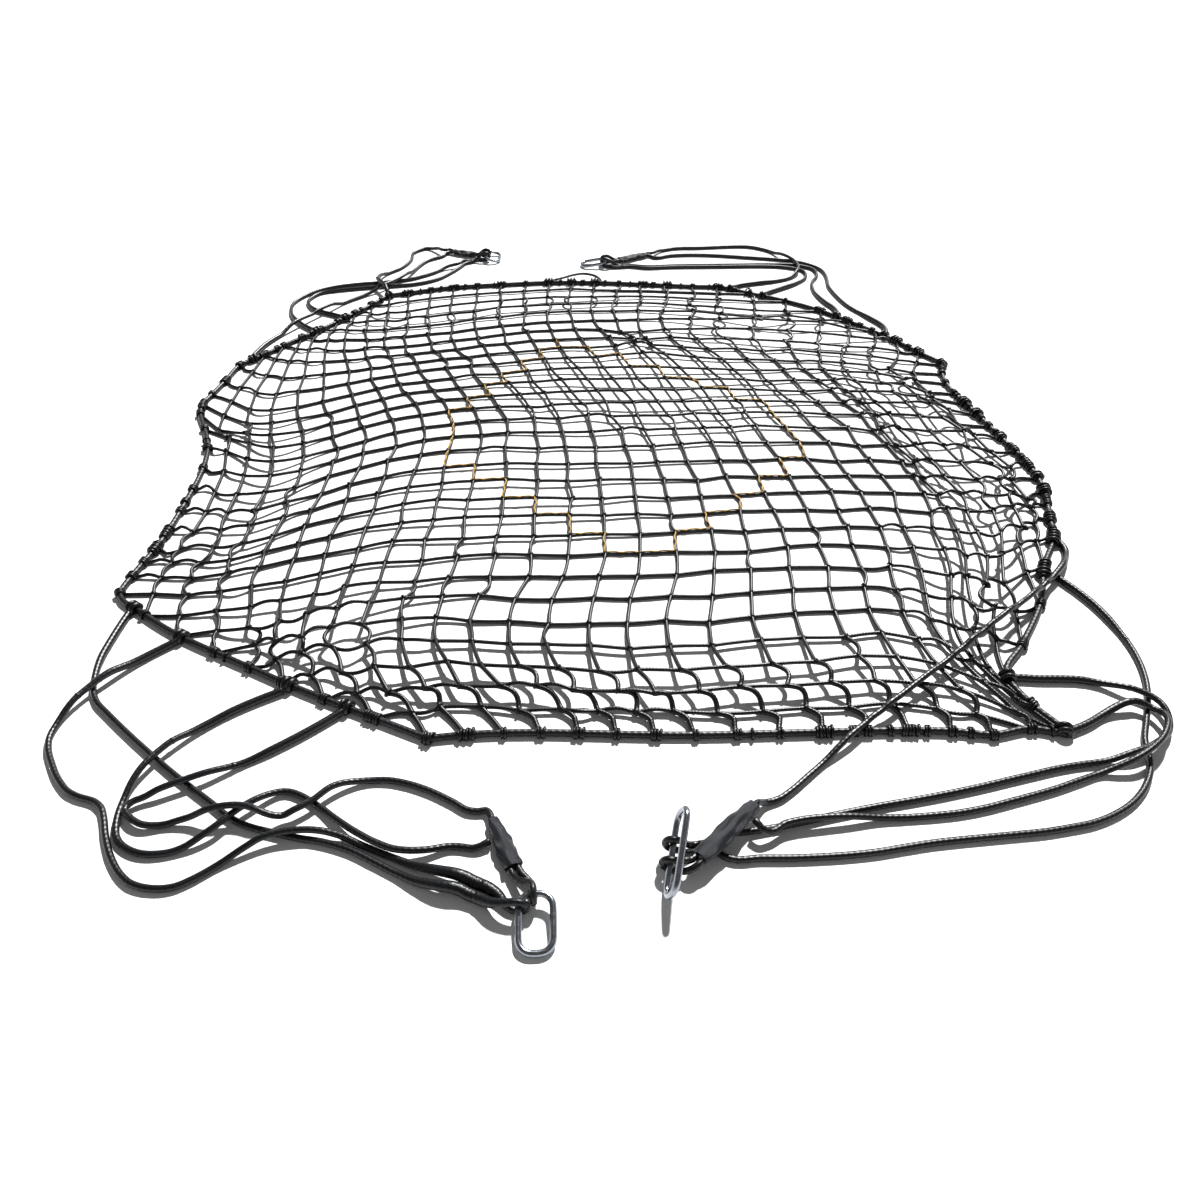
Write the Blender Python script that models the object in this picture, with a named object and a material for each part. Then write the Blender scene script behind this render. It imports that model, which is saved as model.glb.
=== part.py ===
"""A cargo net spread loosely on the ground: an eight-sided panel of square mesh in a heavy border rope,
with four lifting legs, each of four rope parts that meet in an oblong steel link.

Metres, +Z up, +Y from the near edge of the net to the far one. The layout tables give places on the
ground, measured from the spot below the eye that looks over the net; ORIGIN moves them to the part's
own frame, whose origin is the middle of the footprint, on the ground.
"""

import math

import bmesh
import bpy
import numpy as np
from mathutils import Matrix, Vector

# Net
MESH = 0.127
CELLS = 30
CUT_CELLS = 8
NET_CORD = 0.012
BORDER_ROPE = 0.022
HALF = CELLS // 2

# Legs
LEG_ROPE = 0.019
SPLICE = 0.024
SPLICE_FULL = 0.20
SPLICE_LENGTH = 0.33
THROAT_LENGTH = 0.24
LINK_BAR = 0.019
LINK_CORNER = 0.034
STANDING_LEAN = 0.30
STANDING_RISE = 0.33
SLEEVE_THICK = 0.034
ROPE_SPACE = 0.002

# Fits
GAP = 0.0003
LAY_GAP = 0.0015
EYE_GAP = 0.0011
DRAPE_GAP = 0.002
EYE_HEIGHT = 1.99
MEAN_LIE = 0.014
LYING_FLAT = 0.003
ORIGIN = Vector((-0.0223, 3.3428, 0.0))

# Where the net's mesh rows lie. Each line is one row of knots, counted from the near edge, with the
# ground places (x, y) of its knots in the columns named in NET_COLUMNS, counted from the middle.
# Places past the cut corners only steer the curves.
NET_COLUMNS = (-15, -13, -7, 0, 7, 12, 15)
NET_ROWS = {
    0: ((-1.45, 1.40), (-1.15, 1.50), (-0.50, 1.68), (0.28, 1.69), (1.14, 1.70), (1.60, 1.62), (1.75, 1.60)),
    4: ((-1.60, 1.85), (-1.31, 1.92), (-0.76, 2.09), (0.09, 2.06), (1.03, 2.12), (1.32, 1.93), (1.55, 2.05)),
    8: ((-1.66, 2.33), (-1.43, 2.33), (-0.77, 2.51), (0.15, 2.56), (1.05, 2.61), (1.50, 2.58), (1.70, 2.66)),
    12: ((-1.63, 2.69), (-1.44, 2.70), (-0.77, 3.00), (0.13, 3.05), (1.02, 3.08), (1.54, 3.05), (1.79, 3.06)),
    16: ((-1.66, 3.27), (-1.47, 3.19), (-0.78, 3.48), (0.06, 3.58), (0.90, 3.60), (1.46, 3.55), (1.73, 3.48)),
    20: ((-1.80, 3.75), (-1.60, 3.64), (-0.95, 3.89), (-0.11, 4.05), (0.78, 4.04), (1.32, 4.00), (1.66, 3.89)),
    24: ((-1.75, 4.40), (-1.62, 4.30), (-1.10, 4.29), (-0.26, 4.50), (0.62, 4.50), (1.42, 4.38), (1.72, 4.30)),
    27: ((-1.75, 4.75), (-1.55, 4.65), (-1.15, 4.62), (-0.30, 4.84), (0.62, 4.83), (1.36, 4.68), (1.60, 4.70)),
    30: ((-1.75, 5.10), (-1.60, 5.00), (-1.20, 4.93), (-0.30, 5.15), (0.66, 5.08), (1.30, 5.02), (1.60, 5.10)),
}

# Where slack bunches up: the fold's middle, its reach in meshes each way, how far it drags the mesh
# along the ground, and how high it stands. What stands lower than LYING_FLAT lies on the ground.
FOLDS = (
    # name, column, row, reach across, reach along, drag x, drag y, lift
    ("near edge slack", -1.0, 2.4, 9.0, 1.5, 0.0, 0.0, 0.046),
    ("near left bunch", -9.0, 5.4, 3.2, 2.0, 0.0, 0.0, 0.050),
    ("near right bunch", 10.5, 6.2, 2.4, 2.4, 0.0, 0.0, 0.055),
    ("near right corner pulled out", 9.0, 2.0, 1.7, 1.7, 0.12, -0.14, 0.0),
    ("near left edge pulled out", -11.0, 4.0, 4.0, 4.0, -0.010, -0.020, 0.0),
    ("near right edge pulled out", 12.6, 5.6, 1.4, 1.4, 0.05, 0.0, 0.0),
    ("left edge pulled back", -15.0, 18.0, 1.6, 1.8, -0.08, 0.08, 0.0),
    ("far left edge bowed out", -10.6, 26.6, 2.5, 2.5, -0.075, 0.0, 0.0),
    ("far right edge bowed out", 9.6, 27.4, 3.0, 3.0, 0.13, 0.02, 0.0),
    ("far edge bowed out", -4.6, 30.0, 2.5, 2.0, 0.0, 0.065, 0.0),
    ("left ridge", -12.0, 15.0, 1.2, 5.0, 0.0, 0.0, 0.030),
    ("right gather", 12.3, 14.0, 1.6, 6.0, 0.0, 0.0, 0.060),
    ("far right bunch", 9.0, 25.0, 3.0, 2.2, 0.0, 0.0, 0.048),
    ("far edge slack", -3.0, 27.6, 7.0, 1.4, 0.0, 0.0, 0.028),
    ("middle swell", 2.0, 18.0, 5.0, 3.5, 0.0, 0.0, 0.034),
    ("front swell", -4.0, 11.0, 4.0, 2.4, 0.0, 0.0, 0.024),
)

# Mesh openings cut right through the panel: the column and row of each mesh's near left knot.
OPEN_COLUMNS = (-10, -4, 3, 8)
OPEN_ROWS = (8, 14, 20)

# The legs. "link" is a link's outside length and width, "bar" is the middle of its bar that the eyes go
# round, "grip" says whether that is an end or a long side, and "away" points from it to the opposite bar.
# A standing link rests on its long side. Each eye is given by where it sits along the bar and where its
# two ends come out.
# "sleeve" is the sleeve's far mouth, "flank" is how far along it and on which side a rope enters, and
# "throat" is the rope's thickness where it is spliced at the bare eye. Each rope is a seat and a route
# that starts at the border rope.
LEGS = {
    "near_left": {
        "link": (0.162, 0.104),
        "bar": (-0.157, 1.165),
        "away": (0.045, -1.0),
        "grip": "end",
        "stands": False,
        "eyes": {"bare": (0.058, -0.312, 1.188), "sleeved": (0.006, -0.218, 1.248)},
        "sleeve": (-0.286, 1.392),
        "sleeve_widths": (0.076, 0.040),
        "flank": (0.62, 1),
        "throat": 0.033,
        "ropes": (
            ("bare near", ((-1.60, 2.26), (-1.605, 2.13), (-1.595, 1.97), (-1.555, 1.86), (-1.45, 1.76),
             (-1.31, 1.645), (-1.20, 1.56), (-1.08, 1.475), (-0.97, 1.40), (-0.84, 1.36), (-0.68, 1.325),
             (-0.54, 1.257), (-0.46, 1.218), (-0.385, 1.198))),
            ("bare far", ((-1.38, 2.11), (-1.46, 2.03), (-1.54, 1.93), (-1.60, 1.81), (-1.615, 1.70),
             (-1.56, 1.595), (-1.47, 1.50), (-1.36, 1.45), (-1.315, 1.37), (-1.26, 1.285), (-1.18, 1.215),
             (-1.08, 1.205), (-0.98, 1.27), (-0.87, 1.345), (-0.72, 1.36), (-0.57, 1.305), (-0.46, 1.262),
             (-0.385, 1.238))),
            ("flank", ((-0.98, 1.88), (-1.09, 1.81), (-1.18, 1.73), (-1.26, 1.63), (-1.30, 1.52),
             (-1.30, 1.42), (-1.27, 1.345), (-1.20, 1.305), (-1.11, 1.31), (-1.03, 1.36), (-0.96, 1.44),
             (-0.87, 1.50), (-0.78, 1.46), (-0.70, 1.40), (-0.61, 1.34), (-0.52, 1.305), (-0.44, 1.310),
             (-0.38, 1.325))),
            ("mouth", ((-0.77, 1.80), (-0.88, 1.70), (-1.00, 1.61), (-1.12, 1.54), (-1.22, 1.49),
             (-1.285, 1.44), (-1.24, 1.395), (-1.10, 1.405), (-0.96, 1.425), (-0.87, 1.405), (-0.80, 1.44),
             (-0.72, 1.515), (-0.61, 1.54), (-0.50, 1.515), (-0.41, 1.47), (-0.345, 1.435))),
        ),
    },
    "near_right": {
        "link": (0.235, 0.104),
        "bar": (0.182, 1.270),
        "away": (-0.98, 0.20),
        "grip": "side",
        "stands": True,
        "eyes": {"bare": (0.027, 0.258, 1.312), "sleeved": (-0.022, 0.250, 1.258)},
        "sleeve": (0.412, 1.420),
        "sleeve_widths": (0.074, 0.050),
        "flank": (0.82, -1),
        "throat": 0.019,
        "ropes": (
            ("bare near", ((1.63, 2.43), (1.685, 2.32), (1.72, 2.19), (1.73, 2.05), (1.71, 1.93),
             (1.655, 1.80), (1.595, 1.69), (1.565, 1.59), (1.50, 1.50), (1.37, 1.415), (1.21, 1.375),
             (1.04, 1.355), (0.87, 1.335), (0.70, 1.305), (0.54, 1.292), (0.42, 1.290), (0.32, 1.296))),
            ("bare far", ((1.27, 1.94), (1.39, 1.93), (1.51, 1.925), (1.60, 1.89), (1.69, 1.82),
             (1.685, 1.73), (1.60, 1.655), (1.47, 1.61), (1.34, 1.59), (1.20, 1.555), (1.05, 1.515),
             (0.90, 1.480), (0.76, 1.452), (0.62, 1.420), (0.50, 1.390), (0.40, 1.370), (0.32, 1.350))),
            ("flank", ((1.37, 1.71), (1.46, 1.75), (1.55, 1.80), (1.63, 1.815), (1.672, 1.76),
             (1.63, 1.675), (1.53, 1.60), (1.40, 1.56), (1.28, 1.515), (1.15, 1.475), (1.00, 1.435),
             (0.85, 1.417), (0.70, 1.410), (0.58, 1.400), (0.50, 1.385))),
            ("mouth", ((1.70, 2.68), (1.722, 2.61), (1.675, 2.50), (1.59, 2.40), (1.49, 2.30),
             (1.33, 2.165), (1.16, 2.03), (1.03, 1.93), (0.91, 1.83), (0.80, 1.745), (0.68, 1.64),
             (0.57, 1.54), (0.49, 1.475))),
        ),
    },
    "far_left": {
        "link": (0.162, 0.104),
        "bar": (-0.708, 5.560),
        "away": (1.0, 0.02),
        "grip": "side",
        "stands": False,
        "eyes": {"bare": (0.030, -0.800, 5.500), "sleeved": (-0.030, -0.785, 5.600)},
        "sleeve": (-0.915, 5.645),
        "sleeve_widths": (0.070, 0.055),
        "flank": (0.5, 1),
        "throat": 0.019,
        "ropes": (
            ("bare near", ((-1.36, 4.66), (-1.47, 4.72), (-1.60, 4.80), (-1.66, 4.92), (-1.62, 5.03),
             (-1.50, 5.08), (-1.36, 5.115), (-1.22, 5.14), (-1.08, 5.175), (-0.97, 5.25), (-0.90, 5.36),
             (-0.86, 5.44))),
            ("bare far", ((-1.50, 4.49), (-1.62, 4.60), (-1.71, 4.74), (-1.735, 4.89), (-1.68, 5.02),
             (-1.58, 5.11), (-1.44, 5.165), (-1.28, 5.20), (-1.13, 5.25), (-1.02, 5.34), (-0.94, 5.43),
             (-0.87, 5.475))),
            ("mouth near", ((-1.77, 4.16), (-1.74, 4.34), (-1.66, 4.53), (-1.585, 4.67), (-1.51, 4.80),
             (-1.43, 4.92), (-1.33, 5.03), (-1.23, 5.15), (-1.155, 5.29), (-1.12, 5.43), (-1.07, 5.56),
             (-0.99, 5.635))),
            ("mouth far", ((-1.19, 4.93), (-1.24, 5.04), (-1.31, 5.17), (-1.30, 5.31), (-1.22, 5.43),
             (-1.18, 5.56), (-1.18, 5.70), (-1.11, 5.77), (-1.04, 5.73), (-0.98, 5.68))),
        ),
    },
    "far_right": {
        "link": (0.162, 0.104),
        "bar": (0.030, 5.455),
        "away": (-1.0, -0.05),
        "grip": "end",
        "stands": False,
        "eyes": {"bare": (-0.026, 0.135, 5.420), "sleeved": (0.026, 0.115, 5.505)},
        "sleeve": (0.270, 5.590),
        "sleeve_widths": (0.070, 0.055),
        "flank": (0.5, 1),
        "throat": 0.019,
        "ropes": (
            ("bare near", ((0.90, 4.93), (0.96, 5.02), (1.06, 5.10), (1.16, 5.18), (1.235, 5.28),
             (1.235, 5.38), (1.14, 5.44), (0.98, 5.46), (0.80, 5.455), (0.62, 5.45), (0.44, 5.445),
             (0.28, 5.430))),
            ("bare far", ((1.31, 4.67), (1.315, 4.79), (1.27, 4.92), (1.245, 5.06), (1.26, 5.20),
             (1.305, 5.30), (1.30, 5.41), (1.20, 5.475), (1.05, 5.49), (0.85, 5.485), (0.65, 5.478),
             (0.45, 5.470), (0.28, 5.455))),
            ("mouth near", ((1.51, 4.42), (1.53, 4.56), (1.47, 4.70), (1.40, 4.84), (1.36, 5.00),
             (1.345, 5.15), (1.36, 5.28), (1.345, 5.41), (1.24, 5.525), (1.08, 5.58), (0.92, 5.61),
             (0.76, 5.64), (0.58, 5.655), (0.44, 5.64), (0.34, 5.606))),
            ("mouth far", ((0.73, 5.05), (0.80, 5.13), (0.92, 5.18), (1.04, 5.215), (1.14, 5.27),
             (1.20, 5.36), (1.20, 5.50), (1.14, 5.62), (1.07, 5.73), (0.96, 5.80), (0.80, 5.80),
             (0.64, 5.78), (0.48, 5.77), (0.38, 5.72), (0.325, 5.66))),
        ),
    },
}

COLOURS = {
    # name: (colour, roughness, metallic)
    "net_cord": ((0.012, 0.013, 0.018, 1.0), 0.50, 0.0),
    "border_rope": ((0.010, 0.011, 0.014, 1.0), 0.55, 0.0),
    "leg_rope": ((0.012, 0.013, 0.018, 1.0), 0.45, 0.0),
    "sleeve": ((0.16, 0.165, 0.18, 1.0), 0.65, 0.0),
    "link_steel": ((0.50, 0.50, 0.50, 1.0), 0.38, 1.0),
}


def clear_scene():
    for obj in list(bpy.data.objects):
        bpy.data.objects.remove(obj, do_unlink=True)


def make_materials():
    for name, (colour, roughness, metallic) in COLOURS.items():
        material = bpy.data.materials.new(name)
        material.use_nodes = True
        shader = material.node_tree.nodes["Principled BSDF"]
        shader.inputs["Base Color"].default_value = colour
        shader.inputs["Roughness"].default_value = roughness
        shader.inputs["Metallic"].default_value = metallic


def put_in_scene(name, data, material):
    data.materials.append(bpy.data.materials[material])
    obj = bpy.data.objects.new(name, data)
    bpy.context.scene.collection.objects.link(obj)
    return obj


def smooth_between(stations, values, at):
    """The smooth curve through values at rising stations, read at one place or many."""
    stations = np.asarray(stations, float)
    values = np.asarray(values, float)
    at = np.asarray(at, float)
    slopes = np.gradient(values, stations, axis=0)
    left = np.clip(np.searchsorted(stations, at, side="right") - 1, 0, len(stations) - 2)
    span = stations[left + 1] - stations[left]
    t = ((at - stations[left]) / span)[..., None]
    span = span[..., None]
    start, end = values[left], values[left + 1]
    return (
        (2 * t**3 - 3 * t**2 + 1) * start
        + (t**3 - 2 * t**2 + t) * span * slopes[left]
        + (3 * t**2 - 2 * t**3) * end
        + (t**3 - t**2) * span * slopes[left + 1]
    )


def ease(x):
    x = min(max(x, 0.0), 1.0)
    return x * x * (3 - 2 * x)


def meshes_to_edge(column, row):
    """How many meshes a place lies inside the nearest edge of the eight-sided panel."""
    across = HALF - abs(column)
    along = HALF - abs(row - HALF)
    corner = (across + along - CUT_CELLS) / math.sqrt(2)
    return min(across, along, corner)


def net_place(column, row):
    """Where the underside of the net lies at a place counted in meshes."""
    tracked = [smooth_between(NET_COLUMNS, knots, column) for knots in NET_ROWS.values()]
    x, y = smooth_between(list(NET_ROWS), tracked, row)
    lift = 0.0
    for _, middle, along, wide, deep, drag_x, drag_y, height in FOLDS:
        share = math.exp(-(((column - middle) / wide) ** 2) - ((row - along) / deep) ** 2)
        x += share * drag_x
        y += share * drag_y
        lift += share * height
    lift = max(lift - LYING_FLAT, 0.0) * ease(meshes_to_edge(column, row) / 2.0)
    nearer = 1 - lift / EYE_HEIGHT
    return Vector((x * nearer, y * nearer, lift)) - ORIGIN


def border_knots():
    """The knots round the panel's edge, anticlockwise from above, one for each mesh."""
    flat = HALF - CUT_CELLS
    corners = (
        (-flat, 0), (flat, 0), (HALF, CUT_CELLS), (HALF, CELLS - CUT_CELLS),
        (flat, CELLS), (-flat, CELLS), (-HALF, CELLS - CUT_CELLS), (-HALF, CUT_CELLS),
    )
    knots = []
    for (c0, r0), (c1, r1) in zip(corners, corners[1:] + corners[:1]):
        steps = max(abs(c1 - c0), abs(r1 - r0))
        knots += [(c0 + (c1 - c0) * i / steps, r0 + (r1 - r0) * i / steps) for i in range(steps)]
    return knots


def border_line():
    """The middle of the border rope, which lies on the ground."""
    return [net_place(*knot) + Vector((0, 0, BORDER_ROPE / 2)) for knot in border_knots()]


def edge_inside(line):
    """The same line moved in by the rope's radius, for the edge of the panel."""
    moved = []
    for i, here in enumerate(line):
        before = (here - line[i - 1]).normalized()
        after = (line[(i + 1) % len(line)] - here).normalized()
        inward = Vector((-(before + after).y, (before + after).x, 0)).normalized()
        turn = max(0.5, math.sqrt((1 + before.dot(after)) / 2))
        moved.append(here + inward * ((BORDER_ROPE / 2 + GAP) / turn))
    return moved


def make_net_panel():
    """One sheet, as thick as the cord, cut to eight sides, with the stated meshes open."""
    bm = bmesh.new()
    middle = Matrix.Translation((0, HALF, 0))
    bmesh.ops.create_grid(bm, x_segments=CELLS, y_segments=CELLS, size=HALF, matrix=middle)
    corner = HALF - CUT_CELLS / 2
    for side_x in (-1, 1):
        for side_y in (-1, 1):
            bmesh.ops.bisect_plane(
                bm,
                geom=bm.verts[:] + bm.edges[:] + bm.faces[:],
                plane_co=(side_x * corner, HALF + side_y * corner, 0),
                plane_no=(side_x, side_y, 0),
                clear_outer=True,
            )
    bmesh.ops.remove_doubles(bm, verts=bm.verts, dist=0.01)
    wanted = {(c + 0.5, r + 0.5) for c in OPEN_COLUMNS for r in OPEN_ROWS}
    cells = [f for f in bm.faces if tuple(round(v, 1) for v in f.calc_center_median()[:2]) in wanted]
    bmesh.ops.inset_individual(bm, faces=cells, thickness=NET_CORD / 2 / MESH)
    bmesh.ops.delete(bm, geom=cells, context="FACES_ONLY")
    rim = dict(zip(border_knots(), edge_inside(border_line())))
    for vert in bm.verts:
        knot = (round(vert.co.x, 3), round(vert.co.y, 3))
        edge = next((rim[k] for k in rim if abs(k[0] - knot[0]) + abs(k[1] - knot[1]) < 0.01), None)
        vert.co = net_place(*knot) if edge is None else Vector((edge.x, edge.y, 0))
    lower = bm.faces[:]
    raised = bmesh.ops.extrude_face_region(bm, geom=lower, use_keep_orig=True)["geom"]
    top = [part for part in raised if isinstance(part, bmesh.types.BMVert)]
    bmesh.ops.translate(bm, verts=top, vec=(0, 0, NET_CORD))
    bmesh.ops.recalc_face_normals(bm, faces=bm.faces)
    mesh = bpy.data.meshes.new("net_panel")
    bm.to_mesh(mesh)
    bm.free()
    put_in_scene("net_panel", mesh, "net_cord")


def make_tube(name, points, radii, material, closed=False, resolution=2):
    """A round rope as a curve with a bevel, with its own radius at each point."""
    curve = bpy.data.curves.new(name, "CURVE")
    curve.dimensions = "3D"
    curve.bevel_mode = "ROUND"
    curve.bevel_depth = 1.0
    curve.bevel_resolution = resolution
    curve.use_fill_caps = True
    spline = curve.splines.new("POLY")
    spline.points.add(len(points) - 1)
    for slot, place, radius in zip(spline.points, points, radii):
        slot.co = (*place, 1.0)
        slot.radius = radius
    spline.use_cyclic_u = closed
    return put_in_scene(name, curve, material)


def fine_line(points, step=0.004):
    """The smooth curve through hand-placed points, with a point at every step along it."""
    points = np.array(points, float)
    chord = np.concatenate([[0], np.cumsum(np.linalg.norm(np.diff(points, axis=0), axis=1))])
    fine = smooth_between(chord, points, np.linspace(0, chord[-1], 40 * len(points)))
    along = np.concatenate([[0], np.cumsum(np.linalg.norm(np.diff(fine, axis=0), axis=1))])
    even = np.linspace(0, along[-1], max(2, round(along[-1] / step) + 1))
    return np.stack([np.interp(even, along, fine[:, k]) for k in range(fine.shape[1])], axis=1)


def unit(vector):
    return vector / np.linalg.norm(vector)


def lengths(line):
    return np.concatenate([[0], np.cumsum(np.linalg.norm(np.diff(line, axis=0), axis=1))])


def corner_places(line, most_turn=0.20, most_step=0.075, least_step=0.022):
    """Which points of a fine line to keep: close together in bends, further apart where it is straight."""
    keep = [0]
    heading = line[1] - line[0]
    for i in range(1, len(line) - 1):
        step = line[i + 1] - line[i]
        run = np.linalg.norm(line[i] - line[keep[-1]])
        bend = math.acos(np.clip(heading @ step / np.linalg.norm(heading) / np.linalg.norm(step), -1, 1))
        if run >= least_step and (bend > most_turn or run > most_step):
            keep.append(i)
            heading = step
    if np.linalg.norm(line[-1] - line[keep[-1]]) < least_step / 2:
        keep.pop()
    return keep + [len(line) - 1]


def rope_points(path, start_way, end_way):
    """The points to keep of a rope's path. A short straight piece at each end keeps the cut ends square."""
    keep = corner_places(path)
    middle = [i for i in keep if 0.014 < lengths(path)[i] < lengths(path)[-1] - 0.014]
    first = [path[0], path[0] + np.array(start_way) * 0.006]
    last = [path[-1] - np.array(end_way) * 0.006, path[-1]]
    picked = [0, 0, *middle, len(path) - 1, len(path) - 1]
    return np.array([*first, *path[middle], *last]), picked


def inside(outline, x, y):
    """Whether a place on the ground lies within a closed outline."""
    x0, y0 = outline[:, 0], outline[:, 1]
    x1, y1 = np.roll(x0, -1), np.roll(y0, -1)
    crosses = (y0 > y) != (y1 > y)
    with np.errstate(divide="ignore", invalid="ignore"):
        at = x0 + (y - y0) / (y1 - y0) * (x1 - x0)
    return bool((crosses & (x < at)).sum() % 2)


class Ground:
    """What already lies on the ground, as points with a radius, so that a rope can be laid over it."""

    def __init__(self, border):
        self.outline = np.array([p[:2] for p in border])
        knots = [(c / 2, r / 2) for c in range(-CELLS, CELLS + 1) for r in range(2 * CELLS + 1)]
        places = [net_place(*k) for k in knots if meshes_to_edge(*k) >= 0]
        self.net = np.array(places) + (0, 0, NET_CORD)
        self.laid = np.empty((0, 4))
        closed = np.array([*border, border[0]])
        self.add(closed, np.full(len(closed), BORDER_ROPE / 2))
        self.border = self.laid.copy()

    def add(self, points, radii):
        along = lengths(points)
        even = np.linspace(0, along[-1], round(along[-1] / 0.004) + 2)
        line = np.stack([np.interp(even, along, points[:, k]) for k in range(3)], axis=1)
        radius = np.interp(even, along, radii)
        self.laid = np.vstack([self.laid, np.column_stack([line, radius])])

    def height_under(self, x, y, radius, leaving_border=False):
        """How high the middle of a rope must lie at a place to rest on what is there."""
        height = radius
        if inside(self.outline, x, y):
            near = np.hypot(self.net[:, 0] - x, self.net[:, 1] - y) < 0.6 * MESH
            if near.any():
                height = self.net[near, 2].max() + DRAPE_GAP + radius
        laid = self.laid[len(self.border) :] if leaving_border else self.laid
        off = np.hypot(laid[:, 0] - x, laid[:, 1] - y)
        reach = laid[:, 3] + radius + LAY_GAP
        over = off < reach
        if over.any():
            lift = np.sqrt(reach[over] ** 2 - off[over] ** 2)
            height = max(height, float((laid[over, 2] + lift).max()))
        return height

    def off_border(self, x, y):
        return float(np.hypot(self.border[:, 0] - x, self.border[:, 1] - y).min())


def humps(along, need, rest):
    """Heights that rise in a long low hump over each place that needs more than the resting height."""
    heights = rest.copy()
    for s, high, own in zip(along, need, rest):
        if high > own + 1e-5:
            away = np.clip((np.abs(along - s) - 0.045) / 0.11, 0, 1)
            heights = np.maximum(heights, rest + (high - own) * (1 - away * away * (3 - 2 * away)))
    return heights


def lay_rope(ground, flat_line, radii, end_height):
    """A rope laid over the ground from the border rope to its seat at the other end."""
    along = lengths(flat_line)
    need = []
    leaving = True
    for (x, y), radius in zip(flat_line, radii):
        leaving = leaving and ground.off_border(x, y) < BORDER_ROPE / 2 + radius + LAY_GAP
        need.append(ground.height_under(x, y, radius, leaving))
    need = np.array(need)
    need[along > along[-1] - 0.03] = 0
    heights = humps(along, need, radii)
    away = np.clip((along[-1] - along) / 0.06, 0, 1)
    heights += (end_height - heights[-1]) * (1 - away * away * (3 - 2 * away))
    return np.column_stack([flat_line, heights])


def rope_radius(along, throat):
    """A leg rope's radius: thick where it is spliced round the border rope, and perhaps at the eye."""
    start = np.clip((along - SPLICE_FULL) / (SPLICE_LENGTH - SPLICE_FULL), 0, 1)
    end = np.clip((along[-1] - along) / THROAT_LENGTH, 0, 1)
    thick = (SPLICE - LEG_ROPE) / 2 * (1 - start * start * (3 - 2 * start))
    return LEG_ROPE / 2 + thick + (throat - LEG_ROPE) / 2 * (1 - end * end * (3 - 2 * end))


def clear_of_border(ground, line):
    """The first point of a route whose blunt rope end stands clear of the border rope."""
    for i in range(len(line) - 1):
        forward = line[i + 1] - line[i]
        sideways = np.array([-forward[1], forward[0]]) / np.linalg.norm(forward) * SPLICE / 2
        clear = min(ground.off_border(*(line[i] + sideways * k)) for k in (-1, 0, 1))
        if clear >= BORDER_ROPE / 2 + GAP and not inside(ground.outline, *line[i]):
            return i
    raise ValueError("the route never leaves the border rope")


def make_leg_rope(ground, leg, number, route, place, way, throat=LEG_ROPE):
    """One rope part of a leg: its thick splice at the border rope and the bare rope from there on."""
    nearer = 1 - MEAN_LIE / EYE_HEIGHT
    points = [tuple(Vector(spot) * nearer - ORIGIN.xy) for spot in route]
    points += [tuple((place + way * 0.035).xy), tuple(place.xy)]
    line = fine_line(points, 0.002)
    line = line[clear_of_border(ground, line) :]
    along = lengths(line)
    radii = rope_radius(along, throat)
    path = lay_rope(ground, line, radii, place.z)
    split = int(np.searchsorted(along, SPLICE_LENGTH))
    leaves = unit(path[1] - path[0])
    joins = unit(path[split + 1] - path[split - 1])
    arrives = np.array(-way)
    ends = {"splice": (path[: split + 1], 0, leaves, joins), "rope": (path[split:], split, joins, arrives)}
    for name, (part, start, start_way, end_way) in ends.items():
        points, picked = rope_points(part, start_way, end_way)
        if name == "rope":
            points[:2] += joins * GAP
        make_tube(f"{name}_{leg}_{number}", points, radii[start:][picked], "leg_rope")
    ground.add(path, radii)


def link_line(size):
    """The middle of a link's bar, in its own plane, from the eye end round to it again."""
    half_long = (size[0] - LINK_BAR) / 2
    half_wide = (size[1] - LINK_BAR) / 2
    points = []
    for quarter in range(4):
        side_x = (-1, -1, 1, 1)[quarter]
        side_y = (1, -1, -1, 1)[quarter]
        for step in range(6):
            angle = math.radians((90 + 90 * quarter) + 18 * step)
            centre = Vector((side_x * (half_long - LINK_CORNER), side_y * (half_wide - LINK_CORNER)))
            points.append(centre + LINK_CORNER * Vector((math.cos(angle), math.sin(angle))))
    return points


def place_on_link(bar_length, along):
    """A place on the link's bar, counted along it from the middle of the gripped bar, as (sideways,
    outwards), and which way is outwards there."""
    half = (bar_length - LINK_BAR) / 2 - LINK_CORNER
    side = math.copysign(1, along)
    past = abs(along) - half
    angle = min(max(past / LINK_CORNER, 0), math.pi / 2)
    past_corner = max(past - LINK_CORNER * math.pi / 2, 0)
    spot = Vector((
        side * (min(abs(along), half) + LINK_CORNER * math.sin(angle)),
        -LINK_CORNER * (1 - math.cos(angle)) - past_corner,
    ))
    return spot, Vector((side * math.sin(angle), math.cos(angle)))


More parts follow.
